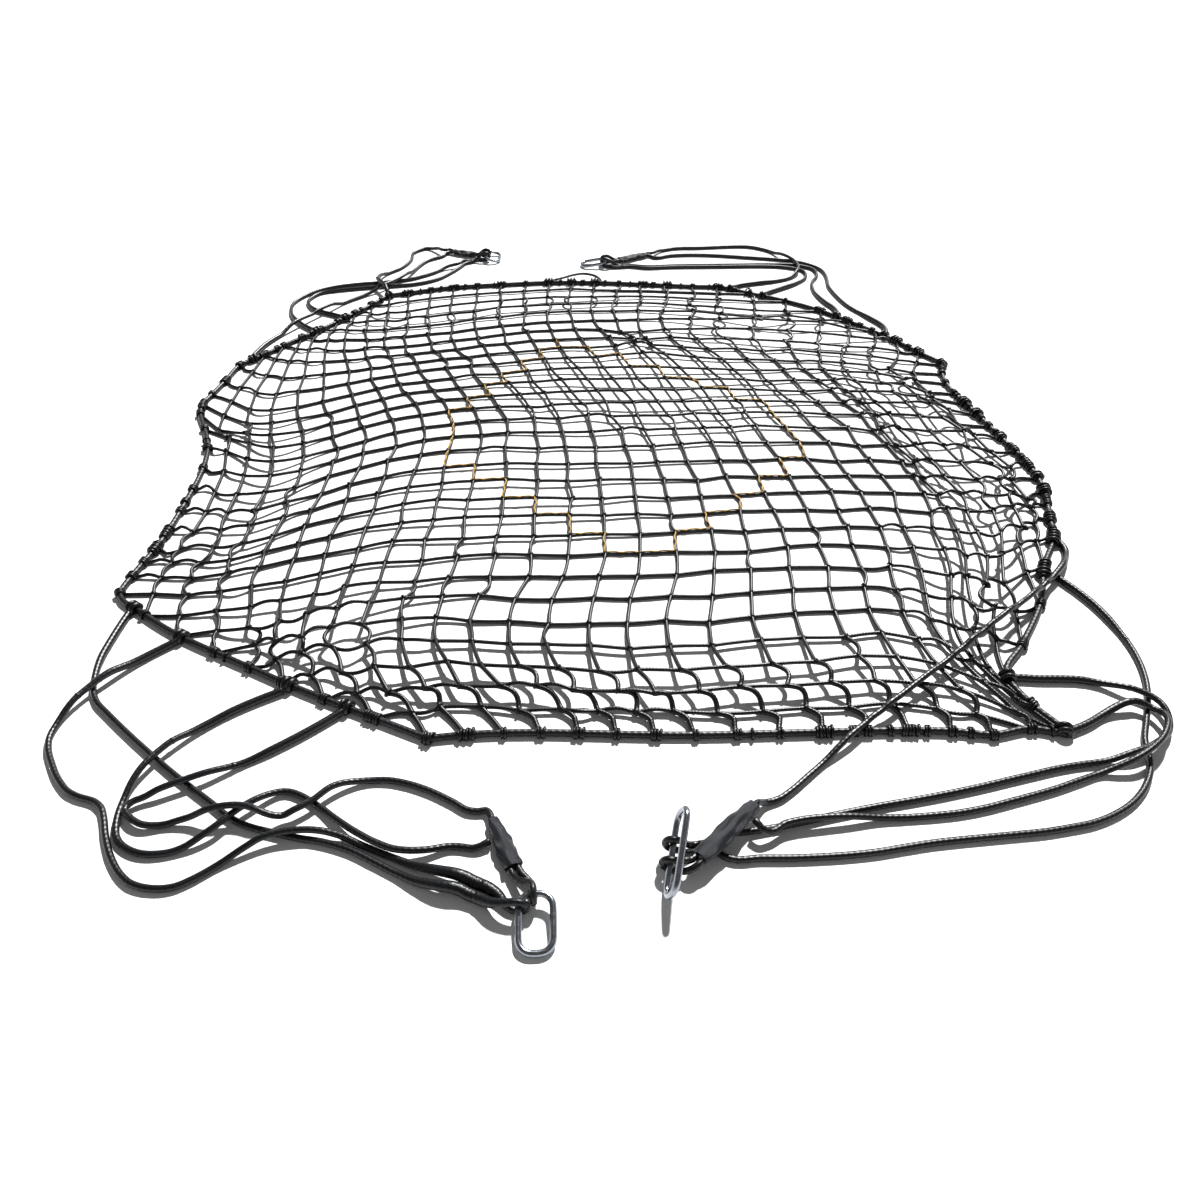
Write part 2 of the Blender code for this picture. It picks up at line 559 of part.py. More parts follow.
class Link:
    """A forged oblong link. It lies with its gripped bar on the eyes, or stands on its long side."""

    def __init__(self, leg, facts):
        self.bar = Vector((*facts["bar"], 0)) - ORIGIN
        self.away = Vector((*facts["away"], 0)).normalized()
        self.side = Vector((self.away.y, -self.away.x, 0))
        grips_end = facts["grip"] == "end"
        self.gripped, opposite = sorted(facts["link"], reverse=not grips_end)
        self.reach = opposite - LINK_BAR
        on_rope = LEG_ROPE + LINK_BAR / 2 + LAY_GAP
        self.fall = 0.0
        self.rise = STANDING_RISE if facts["stands"] else 0.0
        self.slant = math.hypot(1, self.rise)
        self.bar.z = on_rope * self.slant
        if not facts["stands"]:
            backs = [-place_on_link(self.gripped, spot[0])[0].y for spot in facts["eyes"].values()]
            slope = max((on_rope - LINK_BAR / 2) / (self.reach - back) for back in backs)
            self.fall = slope
            self.bar.z = LINK_BAR / 2 + slope * self.reach
        across = (self.away - Vector((0, 0, self.fall))).normalized()
        sideways = self.side
        if facts["stands"]:
            self.bar.z -= self.rise * facts["eyes"]["sleeved"][0]
            sideways = (self.side + Vector((0, 0, self.rise))).normalized()
            upright = Vector((0, 0, 1)) - STANDING_LEAN * self.away
            across = (upright - sideways * upright.dot(sideways)).normalized()
        middle = self.bar + across * self.reach / 2
        points = []
        for p in link_line(facts["link"]):
            wide, deep = (p.y, p.x) if grips_end else (p.x, p.y)
            points.append(middle + across * deep + sideways * wide)
        radii = [LINK_BAR / 2] * len(points)
        make_tube(f"link_{leg}", points, radii, "link_steel", closed=True, resolution=3)

    def at(self, along):
        """Where the bar is, and which way is outwards, at a distance along it from its middle."""
        spot, out = place_on_link(self.gripped, along)
        place = self.bar + self.side * spot.x - self.away * spot.y
        place.z = self.bar.z + self.fall * spot.y + self.rise * spot.x
        return place, (self.side * out.x - self.away * out.y).normalized()


def eye_line(bar, out, end, way, thick, turn):
    """A rope bight round a bar: in under it, round its far side and back over it, with its two ends side
    by side. Each place has the rope's radius there as its fourth value."""
    pull = (end - bar).xy.length * 0.4
    stop = end.xy - way.xy * 0.008
    first, second, third = bar.xy, bar.xy + out.xy * pull, stop - way.xy * pull
    legs = {-1: [], 1: []}
    for step in range(7):
        t = step / 6
        u = 1 - t
        middle = first * u**3 + second * (3 * t * u * u) + third * (3 * t * t * u) + stop * t**3
        heading = (second - first) * (u * u) + (third - second) * (2 * t * u) + (stop - third) * (t * t)
        across = Vector((-heading.y, heading.x)).normalized()
        radius = LEG_ROPE / 2 + (thick - LEG_ROPE) / 2 * ease(t)
        for side in (-1, 1):
            spread = side * (thick + ROPE_SPACE) / 2 * ease(t * 1.5)
            height = (bar.z + side * turn) * (1 - ease(t)) + end.z * ease(t)
            legs[side].append((*(middle + across * spread), height, radius))
    across = Vector((-way.y, way.x))
    for side in (-1, 1):
        place = end.xy + across * (side * (thick + ROPE_SPACE) / 2)
        legs[side].append((*place, end.z, thick / 2))
    tip = []
    for step in range(1, 8):
        angle = math.pi * step / 8
        place = bar - out * (turn * math.sin(angle)) - Vector((0, 0, turn * math.cos(angle)))
        tip.append((*place, LEG_ROPE / 2))
    return np.array(legs[-1][::-1] + tip + legs[1])


def make_eye(ground, leg, kind, link, spot, height, towards, thick=LEG_ROPE):
    """An eye whose ends point towards a place. Gives back where they are and which way they point."""
    bar, out = link.at(spot[0])
    end = Vector((*spot[1:], 0)) - ORIGIN
    way = Vector((*(towards - end.xy), 0)).normalized()
    end.z = height
    turn = ((LINK_BAR + LEG_ROPE) / 2 + EYE_GAP) * link.slant
    bight = eye_line(bar, out, end, way, thick, turn)
    make_tube(f"eye_{leg}_{kind}", bight[:, :3], bight[:, 3], "leg_rope")
    ground.add(bight[:, :3], bight[:, 3])
    return end, way


class Sleeve:
    """A flat grey sleeve from its mouth at the link to its far mouth, resting on what lies under it."""

    def __init__(self, ground, facts):
        front = Vector(facts["eyes"]["sleeved"][1:]) - ORIGIN.xy
        rear = Vector(facts["sleeve"]) - ORIGIN.xy
        self.way = Vector((*(rear - front), 0)).normalized()
        self.across = Vector((-self.way.y, self.way.x, 0))
        self.flank_at = facts["flank"]
        line = fine_line([tuple(front + self.way.xy * GAP), tuple(rear)], 0.01)
        along = lengths(line)
        share = along / along[-1]
        first, last = facts["sleeve_widths"]
        self.half_wide = (first + (last - first) * share) / 2
        need = []
        for i, (x, y) in enumerate(line):
            off = np.hypot(ground.laid[:, 0] - x, ground.laid[:, 1] - y)
            under = (off < self.half_wide[i] + 0.01) & (ground.laid[:, 3] > 0)
            top = (ground.laid[under, 2] + ground.laid[under, 3]).max() + LAY_GAP if under.any() else 0.0
            need.append(SLEEVE_THICK / 2 + (top if along[i] > 0.05 else 0.0))
        rest = np.full(len(along), SLEEVE_THICK / 2)
        self.line = np.column_stack([line, humps(along, np.array(need), rest)])

    def make(self, ground, leg):
        keep = np.linspace(0, len(self.line) - 1, 9).round().astype(int)
        bm = bmesh.new()
        rings = []
        for i in keep:
            ring = []
            for step in range(16):
                angle = 2 * math.pi * step / 16
                wide = math.copysign(abs(math.cos(angle)) ** 0.8, math.cos(angle)) * self.half_wide[i]
                high = math.copysign(abs(math.sin(angle)) ** 0.7, math.sin(angle)) * SLEEVE_THICK / 2
                ring.append(bm.verts.new(Vector(self.line[i]) + self.across * wide + Vector((0, 0, high))))
            rings.append(ring)
        for ring, following in zip(rings, rings[1:]):
            for k in range(16):
                bm.faces.new((ring[k], ring[k - 1], following[k - 1], following[k]))
        bm.faces.new(rings[0])
        bm.faces.new(reversed(rings[-1]))
        bmesh.ops.recalc_face_normals(bm, faces=bm.faces)
        mesh = bpy.data.meshes.new(f"sleeve_{leg}")
        bm.to_mesh(mesh)
        bm.free()
        mesh.shade_smooth()
        put_in_scene(f"sleeve_{leg}", mesh, "sleeve")
        for side in (-0.6, 0.0, 0.6):
            edge = self.line + np.outer(self.half_wide * side, self.across)
            ground.add(edge, np.full(len(edge), SLEEVE_THICK / 2))

    def mouth(self, side):
        """The seat of a rope at the far mouth."""
        shift = self.across * (side * (LEG_ROPE + ROPE_SPACE) / 2)
        return Vector(self.line[-1]) + self.way * GAP + shift, self.way

    def flank(self):
        """The seat of a rope on one flank."""
        share, side = self.flank_at
        i = round(share * (len(self.line) - 1))
        taper = abs(self.half_wide[-1] - self.half_wide[0]) / lengths(self.line)[-1]
        off = self.half_wide[i] + 2 * GAP + taper * LEG_ROPE / 2
        return Vector(self.line[i]) + self.across * (side * off), self.across * side


def make_leg(ground, leg, facts):
    """One leg: link, bare eye and its ropes, then the sleeve, its eye and its ropes laid over them."""
    link = Link(leg, facts)
    throat = facts["throat"]
    arriving = [Vector(route[-1]) - ORIGIN.xy for seat, route in facts["ropes"] if seat.startswith("bare")]
    towards = (arriving[0] + arriving[1]) / 2
    end, way = make_eye(ground, leg, "bare", link, facts["eyes"]["bare"], throat / 2, towards, throat)
    across = Vector((-way.y, way.x, 0)) * ((throat + ROPE_SPACE) / 2)
    seats = {
        "bare near": (end + way * GAP - across * math.copysign(1, across.y), way),
        "bare far": (end + way * GAP + across * math.copysign(1, across.y), way),
    }
    for number, (seat, route) in enumerate(facts["ropes"], start=1):
        if seat in seats:
            make_leg_rope(ground, leg, number, route, *seats[seat], throat)
    sleeve = Sleeve(ground, facts)
    height = float(sleeve.line[0][2])
    rear = Vector(facts["sleeve"]) - ORIGIN.xy
    make_eye(ground, leg, "sleeved", link, facts["eyes"]["sleeved"], height, rear)
    sleeve.make(ground, leg)
    near = -1 if sleeve.across.y > 0 else 1
    seats = {
        "mouth": sleeve.mouth(0),
        "mouth near": sleeve.mouth(near),
        "mouth far": sleeve.mouth(-near),
        "flank": sleeve.flank(),
    }
    for number, (seat, route) in enumerate(facts["ropes"], start=1):
        if seat in seats:
            make_leg_rope(ground, leg, number, route, *seats[seat])


clear_scene()
make_materials()
make_net_panel()
edge = border_line()
make_tube("border_rope", edge, [BORDER_ROPE / 2] * len(edge), "border_rope", closed=True)
ground = Ground(edge)
for leg, facts in LEGS.items():
    make_leg(ground, leg, facts)
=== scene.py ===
import math

import bmesh
import bpy
import numpy as np
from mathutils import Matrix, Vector


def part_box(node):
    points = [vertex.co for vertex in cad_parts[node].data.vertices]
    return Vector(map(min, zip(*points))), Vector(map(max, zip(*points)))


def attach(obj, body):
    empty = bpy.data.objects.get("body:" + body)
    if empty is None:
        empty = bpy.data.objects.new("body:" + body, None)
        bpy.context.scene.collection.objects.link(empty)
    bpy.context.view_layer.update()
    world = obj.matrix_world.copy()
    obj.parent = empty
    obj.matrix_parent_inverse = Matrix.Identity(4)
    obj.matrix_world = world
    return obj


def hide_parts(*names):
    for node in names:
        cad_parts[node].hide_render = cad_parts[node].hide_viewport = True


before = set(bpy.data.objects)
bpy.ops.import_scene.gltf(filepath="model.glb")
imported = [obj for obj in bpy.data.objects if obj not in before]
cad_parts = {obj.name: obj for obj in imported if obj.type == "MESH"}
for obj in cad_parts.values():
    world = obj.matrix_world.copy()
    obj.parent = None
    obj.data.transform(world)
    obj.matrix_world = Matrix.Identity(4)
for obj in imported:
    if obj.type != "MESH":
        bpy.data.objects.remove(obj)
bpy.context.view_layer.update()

bpy.ops.object.select_all(action="DESELECT")

# Camera
# It stands at eye height in front of the net's near edge and looks down at it, as in the photo. The
# net's layout tables are measured on the ground from the spot below it.
EYE = Vector((0.0, 0.0, 1.99))
TO_FRAME = Vector((0.0223, -3.3428, 0.0))
FROM_STRAIGHT_DOWN = math.radians(49.2)

bpy.ops.object.camera_add(location=EYE + TO_FRAME, rotation=(FROM_STRAIGHT_DOWN, 0, 0))
camera = bpy.context.object
camera.data.lens = 26.46
camera.data.sensor_width = 36.0
camera.data.clip_start = 0.05
camera.data.clip_end = 200
bpy.context.scene.camera = camera


# Leg ropes
# Sixteen black ropes of 19 mm braided nylon, four to a leg. Each is spliced round the border rope at one
# end and runs into its leg's link eye or grey sleeve at the other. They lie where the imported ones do.
LEGS = ("near_left", "near_right", "far_left", "far_right")
LEG_ROPE = 0.019
ROPE_STEP = 0.006
ROPE_SIDES = 14
# the lowest that anything lies, and how near two corners are the same one
GROUND = 0.0002
MERGE = 1e-5
# angles between faces, in radians: in one plane, and at the rim of a blunt end
SAME_PLANE = 0.02
BLUNT = 0.9
FEWEST_SIDES = 6


def flat_region(face):
    """The faces that lie in one plane with a face and join it."""
    region, todo = {face}, [face]
    while todo:
        for edge in todo.pop().edges:
            if edge.calc_face_angle(0.0) < SAME_PLANE:
                todo += [other for other in edge.link_faces if other not in region]
                region.update(edge.link_faces)
    return region


def blunt_end(bm):
    """The corners of the first flat end of a tube, which meets the tube's sides squarely all round."""
    for face in bm.faces:
        end = flat_region(face)
        rim = [edge for part in end for edge in part.edges if not end.issuperset(edge.link_faces)]
        if len(rim) >= FEWEST_SIDES and all(edge.calc_face_angle(0.0) > BLUNT for edge in rim):
            return {vert for edge in rim for vert in edge.verts}


def centreline(node_name):
    """The middle of a packed tube with two blunt ends, ring by ring, and its radius at each ring."""
    bm = bmesh.new()
    bm.from_mesh(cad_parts[node_name].data)
    bmesh.ops.remove_doubles(bm, verts=bm.verts, dist=MERGE)
    bm.verts.index_update()
    ring = blunt_end(bm)
    seen = set(ring)
    middles, radii = [], []
    while ring:
        spots = np.array([vert.co for vert in sorted(ring, key=lambda vert: vert.index)])
        middles.append(spots.mean(axis=0))
        radii.append(np.linalg.norm(spots - middles[-1], axis=1).mean())
        ring = {edge.other_vert(vert) for vert in ring for edge in vert.link_edges} - seen
        seen |= ring
    bm.free()
    return np.array(middles), np.array(radii)


def lengths(line):
    """How far along a line each of its points lies."""
    return np.concatenate([[0], np.cumsum(np.linalg.norm(np.diff(line, axis=0), axis=1))])


def eased(t, span, first, first_slope, last, last_slope):
    """A smooth curve from one value to the next, which leaves and arrives at the slopes given."""
    return (
        (2 * t**3 - 3 * t**2 + 1) * first
        + (t**3 - 2 * t**2 + t) * span * first_slope
        + (3 * t**2 - 2 * t**3) * last
        + (t**3 - t**2) * span * last_slope
    )


def smooth_between(stations, values, at):
    """The smooth curve through values at rising stations, read at many places."""
    stations = np.asarray(stations, float)
    slopes = np.gradient(values, stations, axis=0)
    left = np.clip(np.searchsorted(stations, at, side="right") - 1, 0, len(stations) - 2)
    span = (stations[left + 1] - stations[left])[:, None]
    t = (at - stations[left])[:, None] / span
    return eased(t, span, values[left], slopes[left], values[left + 1], slopes[left + 1])


def evenly(line, radii, step):
    """A finer line through the same places, with a point at every step, and its radii."""
    along = lengths(line)
    apart = np.concatenate([[True], np.diff(along) > 1e-4])
    line, radii, along = line[apart], radii[apart], along[apart]
    between = 12
    fine = np.linspace(0, along[-1], between * len(line))
    curve = smooth_between(along, line, fine)
    there = lengths(curve)
    even = np.linspace(0, there[-1], max(3, round(there[-1] / step) + 1))
    points = np.stack([np.interp(even, there, curve[:, k]) for k in range(3)], axis=1)
    return points, np.interp(even, there, np.interp(fine, along, radii))


def from_end_near(line, radii, places):
    """The same tube, read from its end that is nearer to the nearest of some places."""
    first, last = (min(np.linalg.norm(places - line[k], axis=1)) for k in (0, -1))
    return (line[::-1], radii[::-1]) if last < first else (line, radii)


def domed(line, radii):
    """The same tube with a rounded end in place of each blunt one."""
    turns = np.radians((22, 48, 72))
    for _ in range(2):
        radius = radii[0]
        way = (line[1] - line[0]) / np.linalg.norm(line[1] - line[0])
        beyond = lengths(line) > radius
        line = np.vstack([line[0] + np.outer(radius * (1 - np.cos(turns)), way), line[beyond]])[::-1]
        radii = np.concatenate([radius * np.sin(turns), radii[beyond]])[::-1]
    return line, radii


def ring_at(middle, radius, side, up, points):
    """Points evenly round a middle, in the plane of two directions."""
    turns = np.arange(points) * 2 * math.pi / points
    return middle + radius * (np.outer(np.cos(turns), side) + np.outer(np.sin(turns), up))


def add_tube(bm, uv, line, radii, sides, closed=False, axis=None):
    """A tube round a line, whose UVs are metres along and turns around. A closed ring that stands upright
    is given the axis that it goes round, and where another line turns upright it keeps its last side."""
    nearly_upright = 0.25
    ways = np.gradient(line, axis=0) if not closed else np.roll(line, -1, 0) - np.roll(line, 1, 0)
    ways /= np.linalg.norm(ways, axis=1)[:, None]
    side = np.cross(ways, (0, 0, 1.0)) if axis is None else np.tile(axis, (len(line), 1))
    for i in range(len(side)):
        if np.linalg.norm(side[i]) < nearly_upright and i:
            side[i] = side[i - 1] - ways[i] * (side[i - 1] @ ways[i])
    side /= np.linalg.norm(side, axis=1)[:, None]
    up = np.cross(side, ways)
    along = lengths(line)
    rings = []
    for middle, radius, a, b in zip(line, radii, side, up):
        rings.append([bm.verts.new(spot) for spot in ring_at(middle, radius, a, b, sides)])
    pairs = list(zip(range(len(rings)), range(1, len(rings))))
    if closed:
        pairs.append((len(rings) - 1, 0))
    for i, j in pairs:
        far = along[j] if j else along[i] + np.linalg.norm(line[0] - line[i])
        for k in range(sides):
            n = (k + 1) % sides
            face = bm.faces.new((rings[i][k], rings[i][n], rings[j][n], rings[j][k]))
            face.smooth = True
            spots = ((along[i], k), (along[i], k + 1), (far, k + 1), (far, k))
            for loop, (s, turn) in zip(face.loops, spots):
                loop[uv].uv = (s, turn / sides)
    if not closed:
        bm.faces.new(rings[0][::-1])
        bm.faces.new(rings[-1])


def finish_piece(name, bm, material):
    """The mesh as an object that rides on the net, flattened where it would press into the ground."""
    for vert in bm.verts:
        vert.co.z = max(vert.co.z, GROUND)
    bmesh.ops.recalc_face_normals(bm, faces=bm.faces)
    mesh = bpy.data.meshes.new(name)
    bm.to_mesh(mesh)
    bm.free()
    piece = bpy.data.objects.new(name, mesh)
    bpy.context.scene.collection.objects.link(piece)
    mesh.materials.append(material)
    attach(piece, "root")
    return piece


def new_mesh():
    """An empty mesh and its UV map."""
    bm = bmesh.new()
    return bm, bm.loops.layers.uv.new("UVMap")


def linear(hex_colour):
    """An sRGB hex colour as linear red, green, blue and alpha."""
    values = [int(hex_colour[i : i + 2], 16) / 255 for i in (1, 3, 5)]
    return (*[v / 12.92 if v <= 0.04045 else ((v + 0.055) / 1.055) ** 2.4 for v in values], 1.0)


def add_node(tree, kind, settings=(), links=()):
    """A shader node with its settings, given by attribute or socket, and the sockets that feed it."""
    node = tree.nodes.new(kind)
    for key, value in dict(settings).items():
        if isinstance(key, str) and hasattr(node, key):
            setattr(node, key, value)
        else:
            node.inputs[key].default_value = value
    for key, source in dict(links).items():
        tree.links.new(source, node.inputs[key])
    return node


def principled(name, settings):
    """A new material and its shader, set up from plain values."""
    material = bpy.data.materials.new(name)
    material.use_nodes = True
    shader = material.node_tree.nodes["Principled BSDF"]
    for key, value in settings.items():
        shader.inputs[key].default_value = value
    return material, material.node_tree, shader


def braided_nylon(name, colour, pale, plait, strands, roughness, depth):
    """Solution-dyed nylon filament in a tubular braid: near black, with a silky gloss along the top and
    a diamond pattern of strands. plait is the length of one strand crossing, in metres."""
    material, tree, shader = principled(name, {
        "Base Color": linear(colour), "Roughness": roughness, "IOR": 1.53, "Specular IOR Level": 0.33,
    })
    uv = add_node(tree, "ShaderNodeUVMap", {"uv_map": "UVMap"})
    split = add_node(tree, "ShaderNodeSeparateXYZ", (), {0: uv.outputs["UV"]})
    along = add_node(tree, "ShaderNodeMath", {"operation": "DIVIDE", 1: plait}, {0: split.outputs["X"]})
    count = {"operation": "MULTIPLY", 1: float(strands)}
    around = add_node(tree, "ShaderNodeMath", count, {0: split.outputs["Y"]})
    crossing = []
    for way in ("ADD", "SUBTRACT"):
        both = {0: along.outputs[0], 1: around.outputs[0]}
        slant = add_node(tree, "ShaderNodeMath", {"operation": way}, both)
        wave = add_node(tree, "ShaderNodeMath", {"operation": "PINGPONG", 1: 0.5}, {0: slant.outputs[0]})
        crossing.append(wave.outputs[0])
    strand = add_node(tree, "ShaderNodeMath", {"operation": "MAXIMUM"}, enumerate(crossing))
    place = add_node(tree, "ShaderNodeTexCoord")
    patches = {"Scale": 9.0, "Detail": 4.0, "Roughness": 0.6}
    wear = add_node(tree, "ShaderNodeTexNoise", patches, {"Vector": place.outputs["Object"]})
    fade = add_node(tree, "ShaderNodeMapRange", {1: 0.45, 2: 0.75, 3: 0.0, 4: 1.0}, {0: wear.outputs[0]})
    mix = add_node(tree, "ShaderNodeMix", {"data_type": "RGBA"}, {0: fade.outputs[0]})
    mix.inputs[6].default_value = linear(colour)
    mix.inputs[7].default_value = linear(pale)
    tree.links.new(mix.outputs[2], shader.inputs["Base Color"])
    relief = {"Strength": 0.7, "Distance": depth}
    bump = add_node(tree, "ShaderNodeBump", relief, {"Height": strand.outputs[0]})
    tree.links.new(bump.outputs[0], shader.inputs["Normal"])
    return material


# The real plait is about half as long; it is drawn coarser, here and on the cord and the border rope, so
# that it shows.
rope_nylon = braided_nylon("black_braided_nylon_rope", "#060709", "#14161b", 0.016, 6, 0.36, 0.0012)
rope_starts = {}
for leg in LEGS:
    for number in range(1, 5):
        node = f"rope_{leg}_{number}"
        line, radii = centreline(node)
        splice, _ = centreline(f"splice_{leg}_{number}")
        line, radii = evenly(*from_end_near(line, radii, splice[[0, -1]]), ROPE_STEP)
        bm, uv = new_mesh()
        add_tube(bm, uv, line, np.full(len(line), LEG_ROPE / 2), ROPE_SIDES)
        rope = finish_piece(f"leg_{node}", bm, rope_nylon)
        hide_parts(node)
        rope_starts[node] = line[0]
        if leg == "near_left" and number < 3:
            # its tucked end is thicker than the rope, and thins out along the arm of the bare link eye
            thick = radii > 1.01 * LEG_ROPE / 2
            eye = evenly(*centreline(f"eye_{leg}_bare"), ROPE_STEP)
            arm, _ = from_end_near(*eye, line[-1:])
            share = np.linspace(0.1, 1, 14)
            tail = arm[2:16] + np.outer(0.9 * (1 - share), line[-1] - arm[0])
            tail_radii = radii[-1] * (1 - 0.55 * share)
            tuck = np.vstack([line[thick], tail])
            tuck_radii = np.concatenate([radii[thick], tail_radii])
            bm, uv = new_mesh()
            add_tube(bm, uv, *domed(tuck, tuck_radii), 16)
            finish_piece(f"tucked_end_{leg}_{number}", bm, rope_nylon)

# Lacing end
# A loose bight of the 10 mm black cord that laces the net to its border rope, left lying behind the far
# edge.
LACING_CORD = 0.010
LACING_ROUTE = (
    # across and away on the ground from the spot below the camera
    (-0.33, 5.158), (-0.285, 5.205), (-0.22, 5.25), (-0.16, 5.295),
    (-0.10, 5.315), (-0.04, 5.29), (-0.005, 5.24), (0.012, 5.168),
)
line = np.array([(x, y, LACING_CORD / 2) for x, y in LACING_ROUTE]) + np.array(TO_FRAME)
line, radii = evenly(line, np.full(len(line), LACING_CORD / 2), ROPE_STEP)
bm, uv = new_mesh()
add_tube(bm, uv, line, radii, 10)
lacing = finish_piece("loose_lacing_end", bm, rope_nylon)

# Mesh cords
# The field of the net: 12 mm braided nylon cord, knotted square at 127 mm, thirty meshes across the
# flats with eight cut off each corner. It lies where the imported panel does. Where knots have slid
# together the cord between bows up and aside. Near the near edge the columns are drawn up to 1.4
# times as thick: painted shadow, the black cord widened to stand for its own shadow beside it.
NET_CORD = 0.012
BRAID_PROUD = 0.0006
CORD_SIDES = 7
# how much thicker the columns are drawn at the near edge, as painted shadow, and over how many rows it fades
CORD_SHADOW_WIDENING = 0.4
CORD_SHADOW_REACH = 3.2
KNOT_BULGE = 0.3
KNOT_REACH = 0.07
CELLS = 30
HALF = 15
CUT_CELLS = 8
KNOT_GRID = (2 * HALF + 1, CELLS + 1)
LYING_FLAT = 0.003
# The places of knots on the ground, across and away from the spot below the camera: for each row its
# knots on the columns listed first.
NET_COLUMNS = (-15, -13, -7, 0, 7, 12, 15)
NET_ROWS = {
    0: ((-1.45, 1.40), (-1.15, 1.50), (-0.50, 1.68), (0.28, 1.69), (1.14, 1.70), (1.60, 1.62), (1.75, 1.60)),
    4: ((-1.60, 1.85), (-1.31, 1.92), (-0.76, 2.09), (0.09, 2.06), (1.03, 2.12), (1.32, 1.93), (1.55, 2.05)),
    8: ((-1.66, 2.33), (-1.43, 2.33), (-0.77, 2.51), (0.15, 2.56), (1.05, 2.61), (1.50, 2.58), (1.70, 2.66)),
    12: ((-1.63, 2.69), (-1.44, 2.70), (-0.77, 3.00), (0.13, 3.05), (1.02, 3.08), (1.54, 3.05), (1.79, 3.06)),
    16: ((-1.66, 3.27), (-1.47, 3.19), (-0.78, 3.48), (0.06, 3.58), (0.90, 3.60), (1.46, 3.55), (1.73, 3.48)),
    20: ((-1.80, 3.75), (-1.60, 3.64), (-0.95, 3.89), (-0.11, 4.05), (0.78, 4.04), (1.32, 4.00), (1.66, 3.89)),
    24: ((-1.75, 4.40), (-1.62, 4.30), (-1.10, 4.29), (-0.26, 4.50), (0.62, 4.50), (1.42, 4.38), (1.72, 4.30)),
    27: ((-1.75, 4.75), (-1.55, 4.65), (-1.15, 4.62), (-0.30, 4.84), (0.62, 4.83), (1.36, 4.68), (1.60, 4.70)),
    30: ((-1.75, 5.10), (-1.60, 5.00), (-1.20, 4.93), (-0.30, 5.15), (0.66, 5.08), (1.30, 5.02), (1.60, 5.10)),
}
FOLDS = (
    # name, column, row, reach across, reach along, drag x, drag y, lift
    ("near edge slack", -1.0, 2.4, 9.0, 1.5, 0.0, 0.0, 0.046),
    ("near left bunch", -9.0, 5.4, 3.2, 2.0, 0.0, 0.0, 0.050),
    ("near right bunch", 10.5, 6.2, 2.4, 2.4, 0.0, 0.0, 0.055),
    ("near right corner pulled out", 9.0, 2.0, 1.7, 1.7, 0.12, -0.14, 0.0),
    ("near left edge pulled out", -11.0, 4.0, 4.0, 4.0, -0.010, -0.020, 0.0),
    ("near right edge pulled out", 12.6, 5.6, 1.4, 1.4, 0.05, 0.0, 0.0),
    ("left edge pulled back", -15.0, 18.0, 1.6, 1.8, -0.08, 0.08, 0.0),
    ("far left edge bowed out", -10.6, 26.6, 2.5, 2.5, -0.075, 0.0, 0.0),
    ("far right edge bowed out", 9.6, 27.4, 3.0, 3.0, 0.13, 0.02, 0.0),
    ("far edge bowed out", -4.6, 30.0, 2.5, 2.0, 0.0, 0.065, 0.0),
    ("left ridge", -12.0, 15.0, 1.2, 5.0, 0.0, 0.0, 0.030),
    ("right gather", 12.3, 14.0, 1.6, 6.0, 0.0, 0.0, 0.060),
    ("far right bunch", 9.0, 25.0, 3.0, 2.2, 0.0, 0.0, 0.048),
    ("far edge slack", -3.0, 27.6, 7.0, 1.4, 0.0, 0.0, 0.028),
    ("middle swell", 2.0, 18.0, 5.0, 3.5, 0.0, 0.0, 0.034),
    ("front swell", -4.0, 11.0, 4.0, 2.4, 0.0, 0.0, 0.024),
)
# A cord bows where its knots are closer than TIGHT, which is the mesh less what its knots take up, and
# then no further than the other values allow.
TIGHT = 0.109
EVEN_BOW = 0.018
BOW_FOR_SLACK = 1.2
MOST_BOW = 0.048
LEAST_BOW = 0.002
SLACK = (
    # name, column, row, reach across, reach along, how much longer the cords are than elsewhere
    ("near edge", 0.0, 1.6, 9.0, 2.2, 0.013),
    ("near left bunch", -9.5, 5.0, 3.2, 2.6, 0.008),
    ("near right bunch", 10.5, 5.0, 2.8, 2.6, 0.018),
    ("right gather", 12.8, 13.0, 2.4, 7.5, 0.022),
    ("far right bunch", 9.0, 25.5, 3.5, 3.0, 0.020),
    ("far edge", -3.0, 28.4, 8.0, 1.8, 0.014),
    ("far right corner", 8.5, 25.5, 2.5, 2.5, 0.030),
    ("left edge", -13.8, 15.0, 1.6, 6.0, 0.016),
)
MENDED_COLUMN, MENDED_ROW, MENDED_REACH = 3.3, 22.6, 1.3
BUNCHES = (
    # name, column, row, reach across, reach along, how far the knots are drawn together across and along,
    # and how far they have tumbled about
    ("right ridge", 9.9, 14.4, 1.6, 4.4, 0.72, 0.0, 0.014),
    ("near right tangle", 11.0, 6.4, 1.9, 1.6, 0.50, 0.40, 0.022),
    ("near left tangle", -10.0, 5.2, 1.9, 1.2, 0.30, 0.35, 0.014),
    ("near left corner tangle", -6.6, 1.6, 1.4, 1.2, 0.20, 0.35, 0.012),
    ("right edge tangle", 13.6, 11.5, 1.3, 4.0, 0.35, 0.0, 0.020),
    ("right edge upper tangle", 13.4, 19.0, 1.4, 2.6, 0.35, 0.25, 0.020),
    ("far right tangle", 8.6, 26.0, 3.4, 1.5, 0.0, 0.65, 0.026),
    ("left edge tangle", -13.8, 17.0, 1.2, 1.6, 0.30, 0.35, 0.014),
    ("mended patch", MENDED_COLUMN, MENDED_ROW, MENDED_REACH, 1.5, 0.50, 0.75, 0.010),
)

